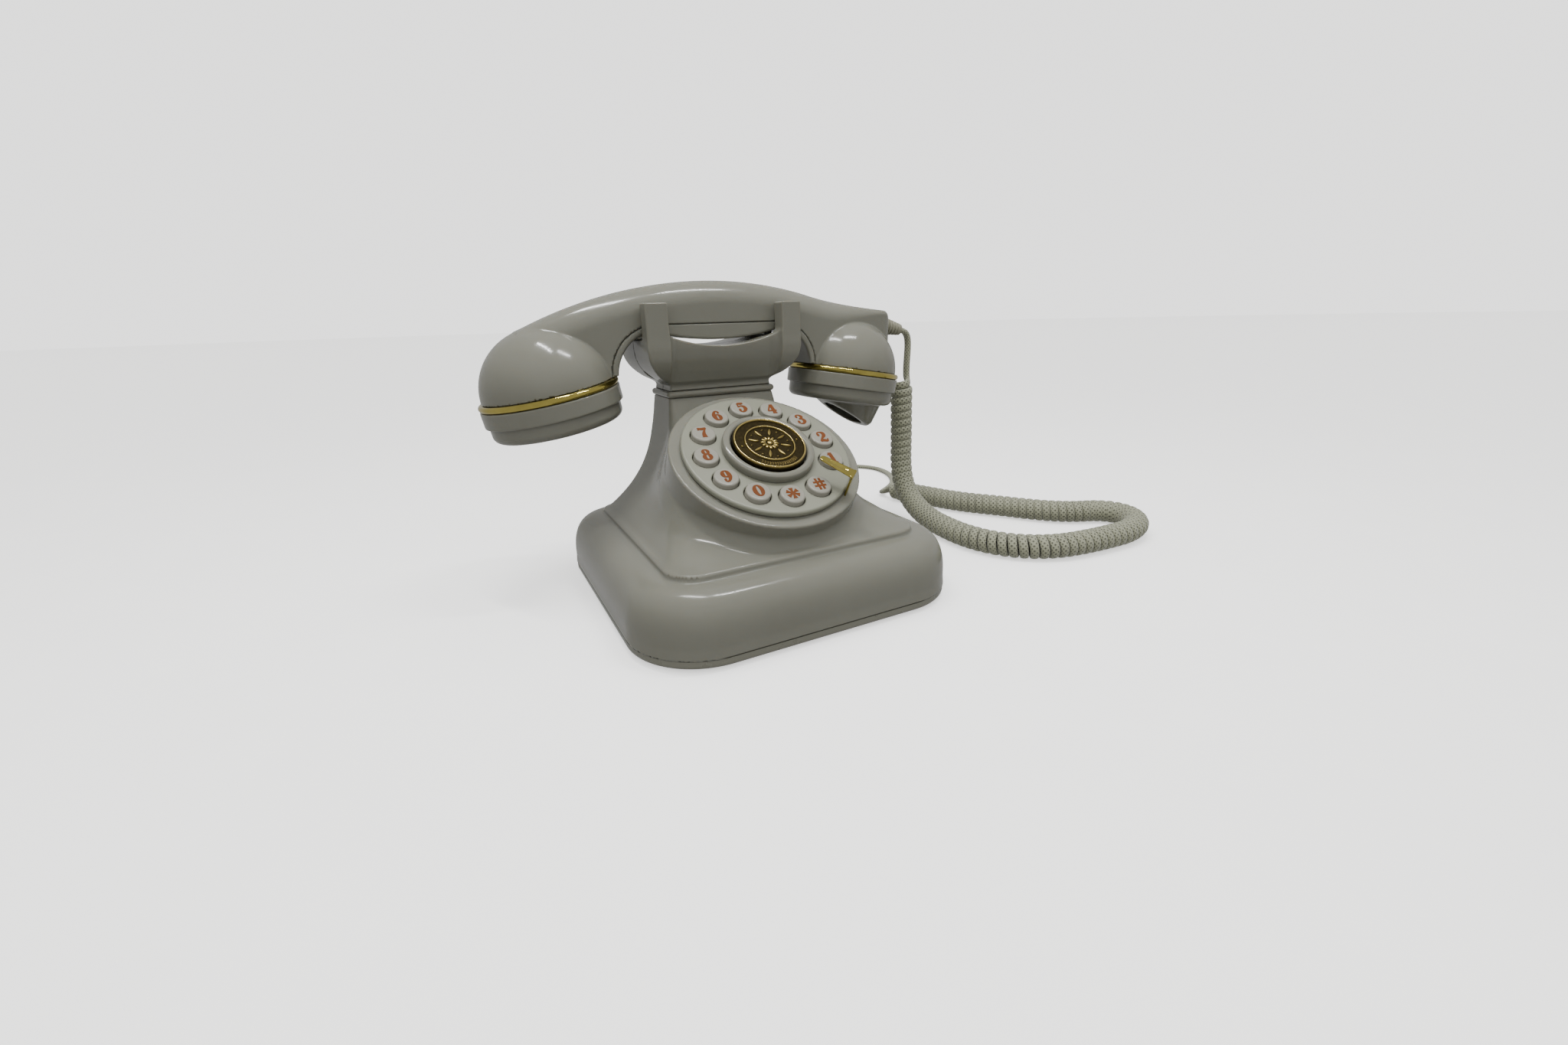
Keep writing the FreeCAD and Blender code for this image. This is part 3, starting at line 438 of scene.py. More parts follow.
def rounded_profile(points, radius, steps=5):
    """Open outline with its inner corners turned into arcs."""
    spots = [np.array(p, float) for p in points]
    made = [tuple(spots[0])]
    for before, corner, after in zip(spots, spots[1:], spots[2:]):
        back, ahead = before - corner, after - corner
        reach = min(radius, 0.48 * np.linalg.norm(back), 0.48 * np.linalg.norm(ahead))
        start = corner + back / np.linalg.norm(back) * reach
        end = corner + ahead / np.linalg.norm(ahead) * reach
        for i in range(steps + 1):
            t = i / steps
            made.append(tuple((1 - t) ** 2 * start + 2 * t * (1 - t) * corner + t * t * end))
    made.append(tuple(spots[-1]))
    return made


# -------- solid modelling with distance functions

def both(a, b, r):
    """Intersection of two solids, its edge rounded to radius r."""
    a, b = a + r, b + r
    return np.hypot(np.maximum(a, 0), np.maximum(b, 0)) + np.minimum(np.maximum(a, b), 0) - r


def either(a, b, r):
    """Union of two solids with a fillet of radius r."""
    return -both(-a, -b, r)


def rect(x, y, half_x, y0, y1, front_r, back_r=None):
    """Plan rectangle, as wide to the left as to the right, with its own corner radius at the back."""
    middle = (y0 + y1) / 2
    r = front_r if back_r is None else np.where(y < middle, front_r, back_r)
    return both(np.abs(x) - half_x, np.abs(y - middle) - (y1 - y0) / 2, r)


def block(x, y, z, x0, x1, y0, y1, z0, z1):
    return np.maximum.reduce([x0 - x, x - x1, y0 - y, y - y1, z0 - z, z - z1])


def smooth_table(z, heights, values):
    """Smooth curve through (height, value) pairs, level outside them."""
    heights, values = np.array(heights, float), np.array(values, float)
    slopes = np.gradient(values, heights)
    z = np.clip(z, heights[0], heights[-1])
    i = np.clip(np.searchsorted(heights, z) - 1, 0, len(heights) - 2)
    span = heights[i + 1] - heights[i]
    t = (z - heights[i]) / span
    return ((2 * t ** 3 - 3 * t ** 2 + 1) * values[i] + (t ** 3 - 2 * t ** 2 + t) * span * slopes[i]
            + (3 * t ** 2 - 2 * t ** 3) * values[i + 1] + (t ** 3 - t ** 2) * span * slopes[i + 1])


def dial_coordinates(x, y, z):
    y, z = y - DIAL_CENTRE[1], z - DIAL_CENTRE[2]
    c, s = cos(DIAL_TILT), sin(DIAL_TILT)
    return x, c * y + s * z, c * z - s * y


def cup_coordinates(x, y, z, side):
    x, z = x - side * CUP_X, z - CUP_CENTRE_Z
    c, s = cos(side * CUP_TILT), sin(side * CUP_TILT)
    return c * x - s * z, y - CRADLE_Y, s * x + c * z


# -------- base

BODY_HEIGHTS = [33.7, 38.0, 45.0, 54.0, 65.0, 78.0, 94.2]
BODY_TABLE = (
    [61.6, 57.0, 49.3, 42.0, 36.2, 32.3, 29.4],         # half width
    [-61.4, -51.5, -34.0, -14.0, 5.0, 19.0, 26.7],      # front
    [61.6, 58.4, 56.8, 55.6, 54.8, 54.4, 54.1],         # back
    [13.5, 16.0, 17.0, 15.0, 10.5, 5.5, 2.0],           # corner radius at the front
    [7.0, 6.0, 5.0, 4.0, 3.0, 2.0, 1.6],                # and at the back
)


def plinth(x, y, z):
    lean = WALL_DRAFT * np.clip((z - SEAM_Z) / (WALL_TOP_Z - SEAM_Z), 0, 1)
    reach = SHOULDER_INSET - WALL_DRAFT
    wall = rect(x, y, PLINTH_X, -PLINTH_Y, PLINTH_Y, PLINTH_R, PLINTH_BACK_R) + lean
    across = np.maximum(wall + reach, 0) / reach
    rise = np.maximum(z - WALL_TOP_Z, 0) / (SHOULDER_Z - WALL_TOP_Z)
    return ((across ** SHOULDER_POWER + rise ** SHOULDER_POWER) ** (1 / SHOULDER_POWER) - 1) * reach


def flare(x, y, z):
    return rect(x, y, *[smooth_table(z, BODY_HEIGHTS, column) for column in BODY_TABLE])


def base_outside(x, y, z):
    step = both(rect(x, y, STEP_X, STEP_FRONT, STEP_BACK, STEP_R, STEP_BACK_R), z - STEP_TOP_Z, 1.5)
    lower = either(plinth(x, y, z), step, 1.0)
    rate = flare(x, y, z + 0.5) - flare(x, y, z - 0.5)
    body = both(flare(x, y, z) / np.sqrt(1 + rate ** 2), z - NECK_TOP_Z, 0.4)
    u, v, h = dial_coordinates(x, y, z)
    drum = both(np.hypot(u, v) - FLANGE_R, h - FLANGE_H, 1.0)
    fillet = 3.0 + 7.0 * np.clip((FLANGE_H - h) / 16.0, 0, 1)
    upper = either(body, drum, fillet)
    return either(lower, upper, 2.0)


WELL_R, WELL_DEPTH, REAR_DEPTH = BUTTON_CIRCLE_R + 7.3, 12.0, 14
HOOK_HOLE_HALF = (3.6, 2.6)
# openings in the rear wall: middle across, half width, middle height, half height
REAR_OPENINGS = ((JACK_X, 6.6, JACK_Z, 6.6), (-JACK_X, 7.6, JACK_Z, 6.6), (0, 6.5, SWITCH_Z, 2.2))


def base_shape(x, y, z):
    outside = base_outside(x, y, z)
    shell = np.maximum(both(outside, SEAM_Z - z, 0.45), -(outside + WALL))
    u, v, h = dial_coordinates(x, y, z)
    well = np.maximum(np.hypot(u, v) - WELL_R, np.abs(h + WELL_DEPTH / 2) - WELL_DEPTH / 2)
    hook_x, hook_y = HOOK_HOLE_HALF
    cuts = [well, block(x, y, z, -hook_x, hook_x, CRADLE_Y - hook_y, CRADLE_Y + hook_y, 88, 96)]
    for middle_x, half_x, middle_z, half_z in REAR_OPENINGS:
        cuts.append(block(x, y, z, middle_x - half_x, middle_x + half_x, PLINTH_Y - REAR_DEPTH, PLINTH_Y + 3,
                          middle_z - half_z, middle_z + half_z))
    for cut in cuts:
        shell = both(shell, -cut, 0.3)
    return shell


COLLAR_PROUD = 1.5


def collar_shape(x, y, z):
    middle, half = (NECK_TOP_Z + COLLAR_TOP_Z) / 2, (COLLAR_TOP_Z - NECK_TOP_Z) / 2
    deep = NECK_HALF_Y + COLLAR_PROUD
    plan = rect(x, y, NECK_X + COLLAR_PROUD, CRADLE_Y - deep, CRADLE_Y + deep, 2.7)
    return both(plan, np.abs(z - middle) - half, 1.65)


def add_base():
    skin("shell", base_shape, (-83, -83, 3.5), (83, 83, 96), 1.0, "base", "ivory", ["base_shell"])
    skin("collar", collar_shape, (-33, 23, 93), (33, 58, 99), 0.6, "base", "ivory", ["neck_collar"])


# -------- cradle

SPLIT = 0.07    # half of the gap where two mouldings meet
CRADLE_HEIGHTS = [96.0, CUP_Z, 104.0, 107.4, 112.0, CUP_TOP_Z, 124.0]
CRADLE_HALF_X = [NECK_X, NECK_X, 33.6, 37.4, 40.4, PRONG_OUT_X, PRONG_OUT_X]
CRADLE_HALF_Y = [NECK_HALF_Y, NECK_HALF_Y, 17.6, 21.2, 24.0, PRONG_OUT_Y, PRONG_OUT_Y]
PANEL_HEIGHTS, PANEL_HALF_Y = [99.0, 103.0, 108.0, 113.0, 118.0, 131.0], [13.2, 14.8, 17.0, 18.9, 19.9, 20.2]


def cradle_whole(x, y, z):
    y = np.abs(y - CRADLE_Y)
    wide = smooth_table(z, CRADLE_HEIGHTS, CRADLE_HALF_X)
    deep = smooth_table(z, CRADLE_HEIGHTS, CRADLE_HALF_Y)
    outside = both(both(np.abs(x) - wide, y - deep, 1.0), z - PRONG_TOP_Z, 0.7)
    bow = SADDLE_Z + (SADDLE_END_Z - SADDLE_Z) * (x / PRONG_IN_X) ** 2
    saddle = both(np.abs(x) - PRONG_IN_X, (bow - z) * 0.97, 2.2)
    pocket = both(y - PRONG_IN_Y, POCKET_Z - z, 1.6)
    face = smooth_table(z, PANEL_HEIGHTS, PANEL_HALF_Y)
    panel = both(both(np.abs(x) - PRONG_IN_X, face - y, 4.5), 99.6 - z, 0.6)
    shape = both(outside, COLLAR_TOP_Z - z, 0.3)
    for cut, edge in ((saddle, 1.1), (pocket, 0.8), (panel, 0.6)):
        shape = both(shape, -cut, edge)
    plunger = np.hypot(np.abs(x) - 34.6, y) - 2.5
    return both(shape, -plunger, 0.3)


def add_cradle():
    for name, side, y0, y1 in (("cradle_front", 1, 14, CRADLE_Y + 1), ("cradle_rear", -1, CRADLE_Y - 1, 67)):
        skin(name + "_half", lambda x, y, z: both(cradle_whole(x, y, z), side * (y - CRADLE_Y) + SPLIT, 0.25),
             (-43, y0, 96), (43, y1, 142), 0.7, "base", "ivory", [name])


# -------- handset

ARC_JOIN_X = 58.0
LUG = (105.8, 134.4)
LUG_END = (HANDLE_END_X, 129.3)
BELLY_R = 141.4
OPENING = (53.9, 127.6, 22.0)       # under the handle: half width, height, corner radius
GRIP_EDGE = (57.2, 130.2, 24.0)     # where the grip's insert ends, in the same order


def arc_centre(start, angle, end):
    """Centre of the circle that leaves start in that direction and passes through end."""
    normal = np.array((-sin(angle), cos(angle)))
    chord = np.array(end) - np.array(start)
    return np.array(start) + normal * (chord @ chord) / (2 * chord @ normal)


def handle_top(x, z):
    """Distance above the handle's back: one long arc, a hollow towards the cord end, and a rounded end."""
    drop = HANDLE_TOP_Z - HANDLE_ARC_R
    join = (ARC_JOIN_X, drop + sqrt(HANDLE_ARC_R ** 2 - ARC_JOIN_X ** 2))
    leave = -asin(ARC_JOIN_X / HANDLE_ARC_R)
    hollow = arc_centre(join, leave, LUG)
    arrive = 2 * atan2(LUG[1] - join[1], LUG[0] - join[0]) - leave
    end = arc_centre(LUG, arrive, LUG_END)
    end_r = dist(end, LUG)
    crown = np.hypot(x, z - drop) - HANDLE_ARC_R
    dip = dist(hollow, join) - np.hypot(x - hollow[0], z - hollow[1])
    tip = np.where(z > end[1], np.hypot(x - end[0], z - end[1]) - end_r, x - end[0] - end_r)
    return np.where(x < join[0], crown, np.where(x < LUG[0], dip, tip))


def arch(x, z, half, top, r):
    """Upright opening with a round head: half its width, its height and its corner radius."""
    return both(np.abs(x) - half, z - top, r)


def handle(x, y, z):
    left = (-97.0 - x) * 0.923 + (z - 128.7) * 0.386
    plan = rect(x, y, HANDLE_END_X, CRADLE_Y - HANDLE_HALF_Y, CRADLE_Y + HANDLE_HALF_Y, HANDLE_END_R)
    soft = HANDLE_ROUND - 9.0 * ease((x - 62) / 46.0)
    body = both(np.maximum(handle_top(x, z), left), plan, soft)
    belly = np.hypot(x, z - BELLY_Z - BELLY_R) - BELLY_R
    void = np.maximum(arch(x, z, *OPENING), -belly)
    body = both(body, -void, 1.2)
    return np.maximum(body, 104.0 - z)


def domes(x, y, z):
    """Each is a sphere a little widened at its foot."""
    sides = []
    for side in (-1, 1):
        u, v, h = cup_coordinates(x, y, z, side)
        sides.append(np.hypot(np.hypot(u, v) * DOME_R / DOME_FOOT_R, h - DOME_CENTRE) - DOME_R)
    return np.where(x < 0, *sides)


def above_rings(x, y, z):
    return np.where(x < 0, *[RING_HALF - cup_coordinates(x, y, z, side)[2] for side in (-1, 1)])


def handset_upper(x, y, z):
    top = both(handle(x, y, z), SPLIT - arch(x, z, *GRIP_EDGE), 0.3)
    return both(either(top, domes(x, y, z), 0.8), above_rings(x, y, z), 0.2)


def handset_lower(x, y, z):
    grip = both(handle(x, y, z), arch(x, z, *GRIP_EDGE) + SPLIT, 0.3)
    return np.maximum(both(grip, above_rings(x, y, z), 0.2), 0.05 - domes(x, y, z))


CAP_RIM_FOOT, CAP_FACE_R = -9.4, 31.3
HORN_X, HORN_LEAN, HORN_ROOT, HORN_FACE = 5.6, 8.6, -15.8, -6.4


def cap_shape(u, v, h):
    r = np.hypot(u, v)
    rim = both(r - CAP_R, np.maximum(h + RING_HALF, CAP_RIM_FOOT - h), 0.6)
    face = both(r - CAP_FACE_R, CAP_FACE - h, 3.6)
    face = np.maximum(face, h + 8.0)
    return either(rim, face, 0.5)


def earpiece_shape(u, v, h):
    """A cap with one hole in the middle of its face and six round it."""
    shape = cap_shape(u, v, h)
    spots = [(0, 0)] + [(7 * cos(i * pi / 3), 7 * sin(i * pi / 3)) for i in range(6)]
    for a, b in spots:
        hole = np.maximum(np.hypot(u - a, v - b) - 1.1, h + 15.0)
        shape = both(shape, -hole, 0.3)
    return shape


def mouthpiece_shape(u, v, h):
    """The same cap with a hollow leaning horn on it, cut open along a sloping plane."""
    t = (HORN_ROOT - h) / 15.8
    outer = (np.hypot(u - HORN_X - HORN_LEAN * t, v) - 21.4 + 11.8 * t) * 0.78
    outer = both(np.maximum(outer, h + 15.0), -31.7 - h, 3.4)
    t = (HORN_ROOT - h) / 13.8
    inner = (np.hypot(u - HORN_X - HORN_LEAN * t, v) - 19.2 + 11.6 * t) * 0.75
    inner = both(np.maximum(inner, h + 16.0), -29.6 - h, 2.8)
    plane = (HORN_FACE - 0.4256 * (u + 40.0) - h) * 0.92
    inner = both(inner, -plane - 7.5, 3.0)
    scoop = both(both(outer, -inner, 0.4), plane, 0.7)
    return either(earpiece_shape(u, v, h), scoop, 1.4)


def ring_profile():
    arc = [(31.5 + 1.65 * cos(a), RING_HALF * sin(a)) for a in np.linspace(-1.45, 1.45, 15)]
    return [(29.6, -RING_HALF)] + arc + [(29.6, RING_HALF)]


def relief_profile():
    points = [(0.0, -1.0), (5.2, -1.0), (5.2, 1.6)]
    for i in range(5):
        start, crest, neck = 4.2 + 2.5 * i, 5.1 - 0.36 * i, 4.1 - 0.25 * i
        points += [(neck, start - 0.7), (neck, start - 0.1), (crest, start), (crest, start + 1.5),
                   (neck - 0.1, start + 1.6)]
    return points + [(3.4, RELIEF_LENGTH - 0.5), (2.9, RELIEF_LENGTH), (0.0, RELIEF_LENGTH)]


def add_handset():
    skin("handset_body", handset_upper, (-122, 5, 95), (120, 76, 153), 0.85, "handset", "ivory",
         ["handset_shell"])
    skin("handset_underside", handset_lower, (-60, 24, 100), (60, 56, 132), 0.75, "handset", "ivory",
         ["handset_grip"])
    half = CAP_R + 1.5
    for name, shape, foot, side in (("earpiece", earpiece_shape, -19, -1),
                                    ("mouthpiece", mouthpiece_shape, -33, 1)):
        skin(name, shape, (-half, -half, foot), (half, half, 0), 0.65, "handset", "ivory", [name + "_cap"],
             CUPS[side])
    points, faces = lathe(ring_profile(), 220, closed=True)
    for name, side in (("earpiece", -1), ("mouthpiece", 1)):
        add_mesh(name + "_band", points, faces, "handset", "gold", [name + "_ring"], CUPS[side])
    points, faces = lathe(rounded_profile(relief_profile(), 0.35, 3), 64)
    place = Matrix.Translation(RELIEF_START) @ Vector(RELIEF_DIR).to_track_quat("Z", "Y").to_matrix().to_4x4()
    return add_mesh("cord_guard", points, faces, "handset", "relief", ["strain_relief"], place)


# -------- dial

BUTTON_GAP, BUTTON_EDGE, SKIRT_R, STEM_R = 0.5, 0.9, 6.5, 2.6


def button_spot(i):
    angle = radians(BUTTON_FIRST + BUTTON_STEP * i)
    return BUTTON_CIRCLE_R * cos(angle), BUTTON_CIRCLE_R * sin(angle)


def plate_shape(u, v, h):
    middle, half = (PLATE_H + FLANGE_H) / 2, (PLATE_H - FLANGE_H) / 2
    shape = both(np.hypot(u, v) - PLATE_R, np.abs(h - middle) - half, 1.1)
    holes = np.full_like(u, 1e3)
    for i in range(len(BUTTON_NAMES)):
        a, b = button_spot(i)
        holes = np.minimum(holes, np.hypot(u - a, v - b) - BUTTON_R - BUTTON_GAP)
    return both(shape, -holes, 0.5)


def button_crown(r):
    """Height of a button's top, slightly domed."""
    return 0.22 * (1 - (r / BUTTON_R) ** 2)


def button_profile():
    """Half section: stem, skirt under the plate, and the cap with its rounded edge."""
    flat = BUTTON_R - BUTTON_EDGE
    top = [(r, button_crown(r)) for r in (0.0, 1.5, 3.0, 4.0, flat)]
    turn = [(flat + BUTTON_EDGE * sin(a), button_crown(flat) - BUTTON_EDGE + BUTTON_EDGE * cos(a))
            for a in np.linspace(0.2, pi / 2, 8)]
    below = [(0, -8.6), (STEM_R, -8.6), (STEM_R, -6.3), (SKIRT_R, -6.3), (SKIRT_R, -5.4), (BUTTON_R, -5.4)]
    return below + turn[::-1] + top[::-1]


def ring_around():
    section = [(18.2, PLATE_H), (RING_R, PLATE_H), (RING_R, 0.4), (21.9, 1.6), (20.4, 2.2), (19.0, 1.9),
               (18.3, 0.9)]
    return rounded_profile(section + [section[0]], 0.5)[:-1]


def bead(distance, radius, rise):
    return rise * np.sqrt(np.clip(1 - (distance / radius) ** 2, 0, 1))


def spoke(angle, count):
    """Angle from the nearest of count evenly spaced spokes."""
    return np.abs((angle * count / (2 * pi)) % 1 - 0.5) * 2 * pi / count


def medallion_height(u, v):
    """Two rings, two dots, a rosette of petals in a wreath of leaves and beads, and a row of chevrons."""
    r, angle = np.hypot(u, v), np.arctan2(v, u)
    dots = np.minimum(np.hypot(u - 14.3, v), np.hypot(u + 14.3, v))
    petals = bead(spoke(angle, 12) * r, 0.85, 0.75) * np.sqrt(np.sin(np.clip((r - 1.7) / 2.9, 0, 1) * pi))
    leaf_half = 0.95 * np.sin(np.clip((r - 5.2) / 5.2, 0, 1) * pi) ** 0.8 + 1e-6
    leaves = np.where((r > 5.2) & (r < 10.4), bead(spoke(angle, 8) * r, leaf_half, 0.62), 0)
    between = np.hypot(spoke(angle + pi / 8, 8) * r, r - 9.4)
    band = (angle < -0.9) & (angle > -2.25) & (np.abs(r - 14.4) < 1.1)
    chevron = np.abs(((angle * 14.4 + np.abs(r - 14.4) * 0.45) / 1.2) % 1 - 0.5) * 1.2
    return np.maximum.reduce([bead(r - 16.9, 0.62, 0.95), bead(r - 11.9, 0.5, 0.85), bead(dots, 0.62, 0.7),
                              petals, bead(r, 1.5, 0.9), leaves, bead(between, 0.55, 0.45),
                              np.where(band, bead(chevron, 0.3, 0.35), 0)])


def add_medallion():
    field, rings, count = 2.7, 150, 260
    radii = np.linspace(0.12, 17.4, rings)
    angles = 2 * pi * np.arange(count) / count
    r, a = np.meshgrid(radii, angles, indexing="ij")
    u, v = r * np.cos(a), r * np.sin(a)
    height = medallion_height(u, v)
    points = [(0, 0, field + 0.9)]
    points += list(zip(u.ravel(), v.ravel(), (field + height).ravel()))
    relief = [0.9] + list(height.ravel())
    foot = PLATE_H + 0.02
    for radius, z in ((17.75, field - 0.05), (MEDALLION_R, field - 0.3), (MEDALLION_R, foot), (0.2, foot)):
        points += [(radius * cos(t), radius * sin(t), z) for t in angles]
        relief += [0.0] * count
    around = [(i, (i + 1) % count) for i in range(count)]
    faces = [(0, 1 + i, 1 + j) for i, j in around]
    last = 1 + (rings + 3) * count
    for base in range(1, last, count):
        faces += [(base + i, base + count + i, base + count + j, base + j) for i, j in around]
    faces.append(tuple(range(last, last + count)))
    piece = add_mesh("medallion_disc", points, faces, "base", "antique", ["medallion"], DIAL)
    attribute = piece.data.attributes.new("relief", "FLOAT", "POINT")
    attribute.data.foreach_set("value", np.array(relief, np.float32))


STOP_TIP, STOP_THICK, STOP_LIE = 26.6, 0.9, 0.9


def stop_shape(u, v, h):
    """Flat arm that widens outwards, pressed in along its middle, on a leg at the dial's edge."""
    c, s = cos(STOP_ANGLE), sin(STOP_ANGLE)
    along, across = c * u + s * v, c * v - s * u
    outer = STOP_R + 0.45
    half = 1.75 + 1.35 * np.clip((along - 25.0) / (outer - 25.0), 0, 1)
    tip = np.hypot(np.maximum(STOP_TIP - along, 0), across) - half
    flat = np.where(along < STOP_TIP, tip, np.abs(across) - half)
    lie = h + STOP_LIE * np.clip((along - 24.0) / 18.0, 0, 1)
    ends = np.clip((along - 26.0) / 3.0, 0, 1) * np.clip((outer - 2 - along) / 3.0, 0, 1)
    dent = 0.35 * np.exp(-(across / 0.8) ** 2) * ends
    arm = both(flat, np.maximum(lie - STOP_H - STOP_THICK + dent, STOP_H - lie), 0.35)
    arm = both(arm, along - outer, 0.5)
    leg_half = np.where(h > -4.0, 1.9 + 1.15 * np.clip((h + 4.0) / 11.0, 0, 1), 1.8)
    leg = both(np.abs(across) - leg_half, np.abs(along - outer + 0.5) - 0.5, 0.3)
    leg = both(leg, np.maximum(h - STOP_H, -9.8 - h), 0.2)
    return either(arm, leg, 0.5)


def stroke(points, widths, steps=10):
    """Centreline and half widths of a pen stroke: a smooth curve through the points."""
    spots = np.array(points, float)
    if len(spots) == 2:
        t = np.linspace(0, 1, 3)
        return spots[0] + np.outer(t, spots[1] - spots[0]), np.interp(t, [0, 1], [widths[0], widths[-1]]) / 2
    padded = np.vstack([2 * spots[0] - spots[1], spots, 2 * spots[-1] - spots[-2]])
    line, half = [], []
    for i in range(len(spots) - 1):
        a, b, c, d = padded[i:i + 4]
        for t in np.linspace(0, 1, steps, endpoint=(i == len(spots) - 2)):
            bent, twisted = 2 * a - 5 * b + 4 * c - d, 3 * b - a - 3 * c + d
            line.append(0.5 * (2 * b + (c - a) * t + bent * t * t + twisted * t ** 3))
            half.append((widths[i] + (widths[i + 1] - widths[i]) * t) / 2)
    return np.array(line), np.array(half)


def oval(cx, cy, rx, ry, thick, thin, count=40):
    """Closed pen stroke, thick at the sides and thin at the top and bottom."""
    a = np.linspace(0, 2 * pi, count + 1)
    line = np.stack([cx + rx * np.cos(a), cy + ry * np.sin(a)], 1)
    return line, (thin + (thick - thin) * np.abs(np.cos(a)) ** 1.4) / 2


def dot(cx, cy, r):
    line = np.array([[cx + r * k, cy] for k in (-0.98, -0.7, 0, 0.7, 0.98)])
    return line, np.array([0.18, 0.72, 1.0, 0.72, 0.18]) * r


def bar(x0, y0, x1, y1, width):
    return stroke([(x0, y0), (x1, y1)], [width, width])


def star():
    arms = []
    for i in range(6):
        turn = radians(90 + 60 * i)
        reach = np.array([cos(turn), sin(turn)])
        arms.append(stroke([reach * 0.02, reach * 0.2, reach * 0.4], [0.06, 0.1, 0.19]))
    return arms


# pen strokes of each mark on a unit-high box centred on the origin, in a sturdy serif style
GLYPHS = {
    "0": [oval(0, 0, 0.235, 0.43, 0.19, 0.075)],
    "1": [bar(0.02, -0.46, 0.02, 0.5, 0.19),
          stroke([(-0.2, 0.29), (-0.08, 0.35), (0.05, 0.47)], [0.06, 0.09, 0.1]),
          bar(-0.22, -0.46, 0.26, -0.46, 0.085)],
    "2": [dot(-0.215, 0.21, 0.1),
          stroke([(-0.3, 0.22), (-0.2, 0.42), (0.0, 0.465), (0.2, 0.33), (0.16, 0.08), (-0.08, -0.16),
                  (-0.27, -0.4)], [0.05, 0.07, 0.09, 0.2, 0.18, 0.1, 0.08]),
          stroke([(-0.3, -0.42), (-0.05, -0.37), (0.18, -0.43), (0.3, -0.36)], [0.1, 0.18, 0.16, 0.07]),
          stroke([(0.27, -0.42), (0.31, -0.22)], [0.09, 0.06])],
    "3": [dot(-0.19, 0.27, 0.09), dot(-0.21, -0.26, 0.1),
          stroke([(-0.27, 0.3), (-0.12, 0.455), (0.08, 0.44), (0.19, 0.27), (0.1, 0.08), (-0.08, 0.04)],
                 [0.05, 0.08, 0.1, 0.17, 0.12, 0.07]),
          stroke([(-0.08, 0.04), (0.14, 0.0), (0.24, -0.2), (0.13, -0.41), (-0.08, -0.465), (-0.28, -0.34)],
                 [0.07, 0.12, 0.2, 0.13, 0.08, 0.05])],
    "4": [bar(0.1, -0.46, 0.1, 0.48, 0.18), bar(0.06, 0.46, -0.31, -0.18, 0.08),
          bar(-0.34, -0.2, 0.32, -0.2, 0.09), bar(-0.06, -0.46, 0.27, -0.46, 0.08)],
    "5": [stroke([(-0.17, 0.43), (0.05, 0.4), (0.24, 0.44)], [0.14, 0.17, 0.1]),
          bar(-0.19, 0.46, -0.22, 0.02, 0.075),
          stroke([(-0.22, 0.04), (-0.02, 0.14), (0.19, 0.04), (0.23, -0.18), (0.1, -0.4), (-0.1, -0.465),
                  (-0.27, -0.34)], [0.06, 0.09, 0.16, 0.2, 0.13, 0.08, 0.05]),
          dot(-0.2, -0.27, 0.1)],
    "6": [oval(0.01, -0.19, 0.19, 0.265, 0.18, 0.075),
          stroke([(-0.18, -0.2), (-0.2, 0.06), (-0.1, 0.32), (0.06, 0.455), (0.2, 0.38)],
                 [0.2, 0.18, 0.13, 0.08, 0.06]),
          dot(0.17, 0.3, 0.09)],
    "7": [stroke([(-0.26, 0.4), (-0.05, 0.35), (0.16, 0.4), (0.28, 0.45)], [0.14, 0.17, 0.12, 0.07]),
          stroke([(0.26, 0.43), (0.08, 0.14), (-0.03, -0.15), (-0.05, -0.46)], [0.07, 0.1, 0.17, 0.23]),
          stroke([(-0.25, 0.5), (-0.3, 0.24)], [0.09, 0.055])],
    "8": [oval(0, 0.25, 0.16, 0.205, 0.15, 0.075), oval(0, -0.21, 0.2, 0.245, 0.18, 0.08)],
    "star": star(),
    "hash": [bar(-0.1, -0.4, -0.1, 0.4, 0.085), bar(0.12, -0.4, 0.12, 0.4, 0.085),
             bar(-0.32, 0.13, 0.34, 0.13, 0.085), bar(-0.34, -0.13, 0.32, -0.13, 0.085)],
}
GLYPHS["9"] = [(-line, half) for line, half in GLYPHS["6"]]
HEIGHTS = {"star": 8.0, "hash": 9.0}
NUMERAL_HEIGHT, PEN, INK_TOP, INK_DEPTH = 7.2, 1.5, 0.12, 0.2


def numeral_mesh(name):
    """Each stroke is a thin closed ribbon lying on the button's crown."""
    points, faces, height = [], [], HEIGHTS.get(name, NUMERAL_HEIGHT)
    for line, half in GLYPHS[name]:
        ahead = unit(np.gradient(line, axis=0))
        across = np.stack([-ahead[:, 1], ahead[:, 0]], 1) * half[:, None] * PEN
        first = len(points)
        for left, right in zip(line + across, line - across):
            for spot in (left * height, right * height):
                top = button_crown(np.hypot(*spot)) + INK_TOP
                points += [(spot[0], spot[1], top), (spot[0], spot[1], top - INK_DEPTH)]
        for i in range(len(line) - 1):
            a, b = first + 4 * i, first + 4 * (i + 1)
            faces += [(a, a + 2, b + 2, b), (a + 1, b + 1, b + 3, a + 3), (a, b, b + 1, a + 1),
                      (a + 2, a + 3, b + 3, b + 2)]
        last = first + 4 * (len(line) - 1)
        faces += [(first, first + 1, first + 3, first + 2), (last, last + 2, last + 3, last + 1)]
    return points, faces


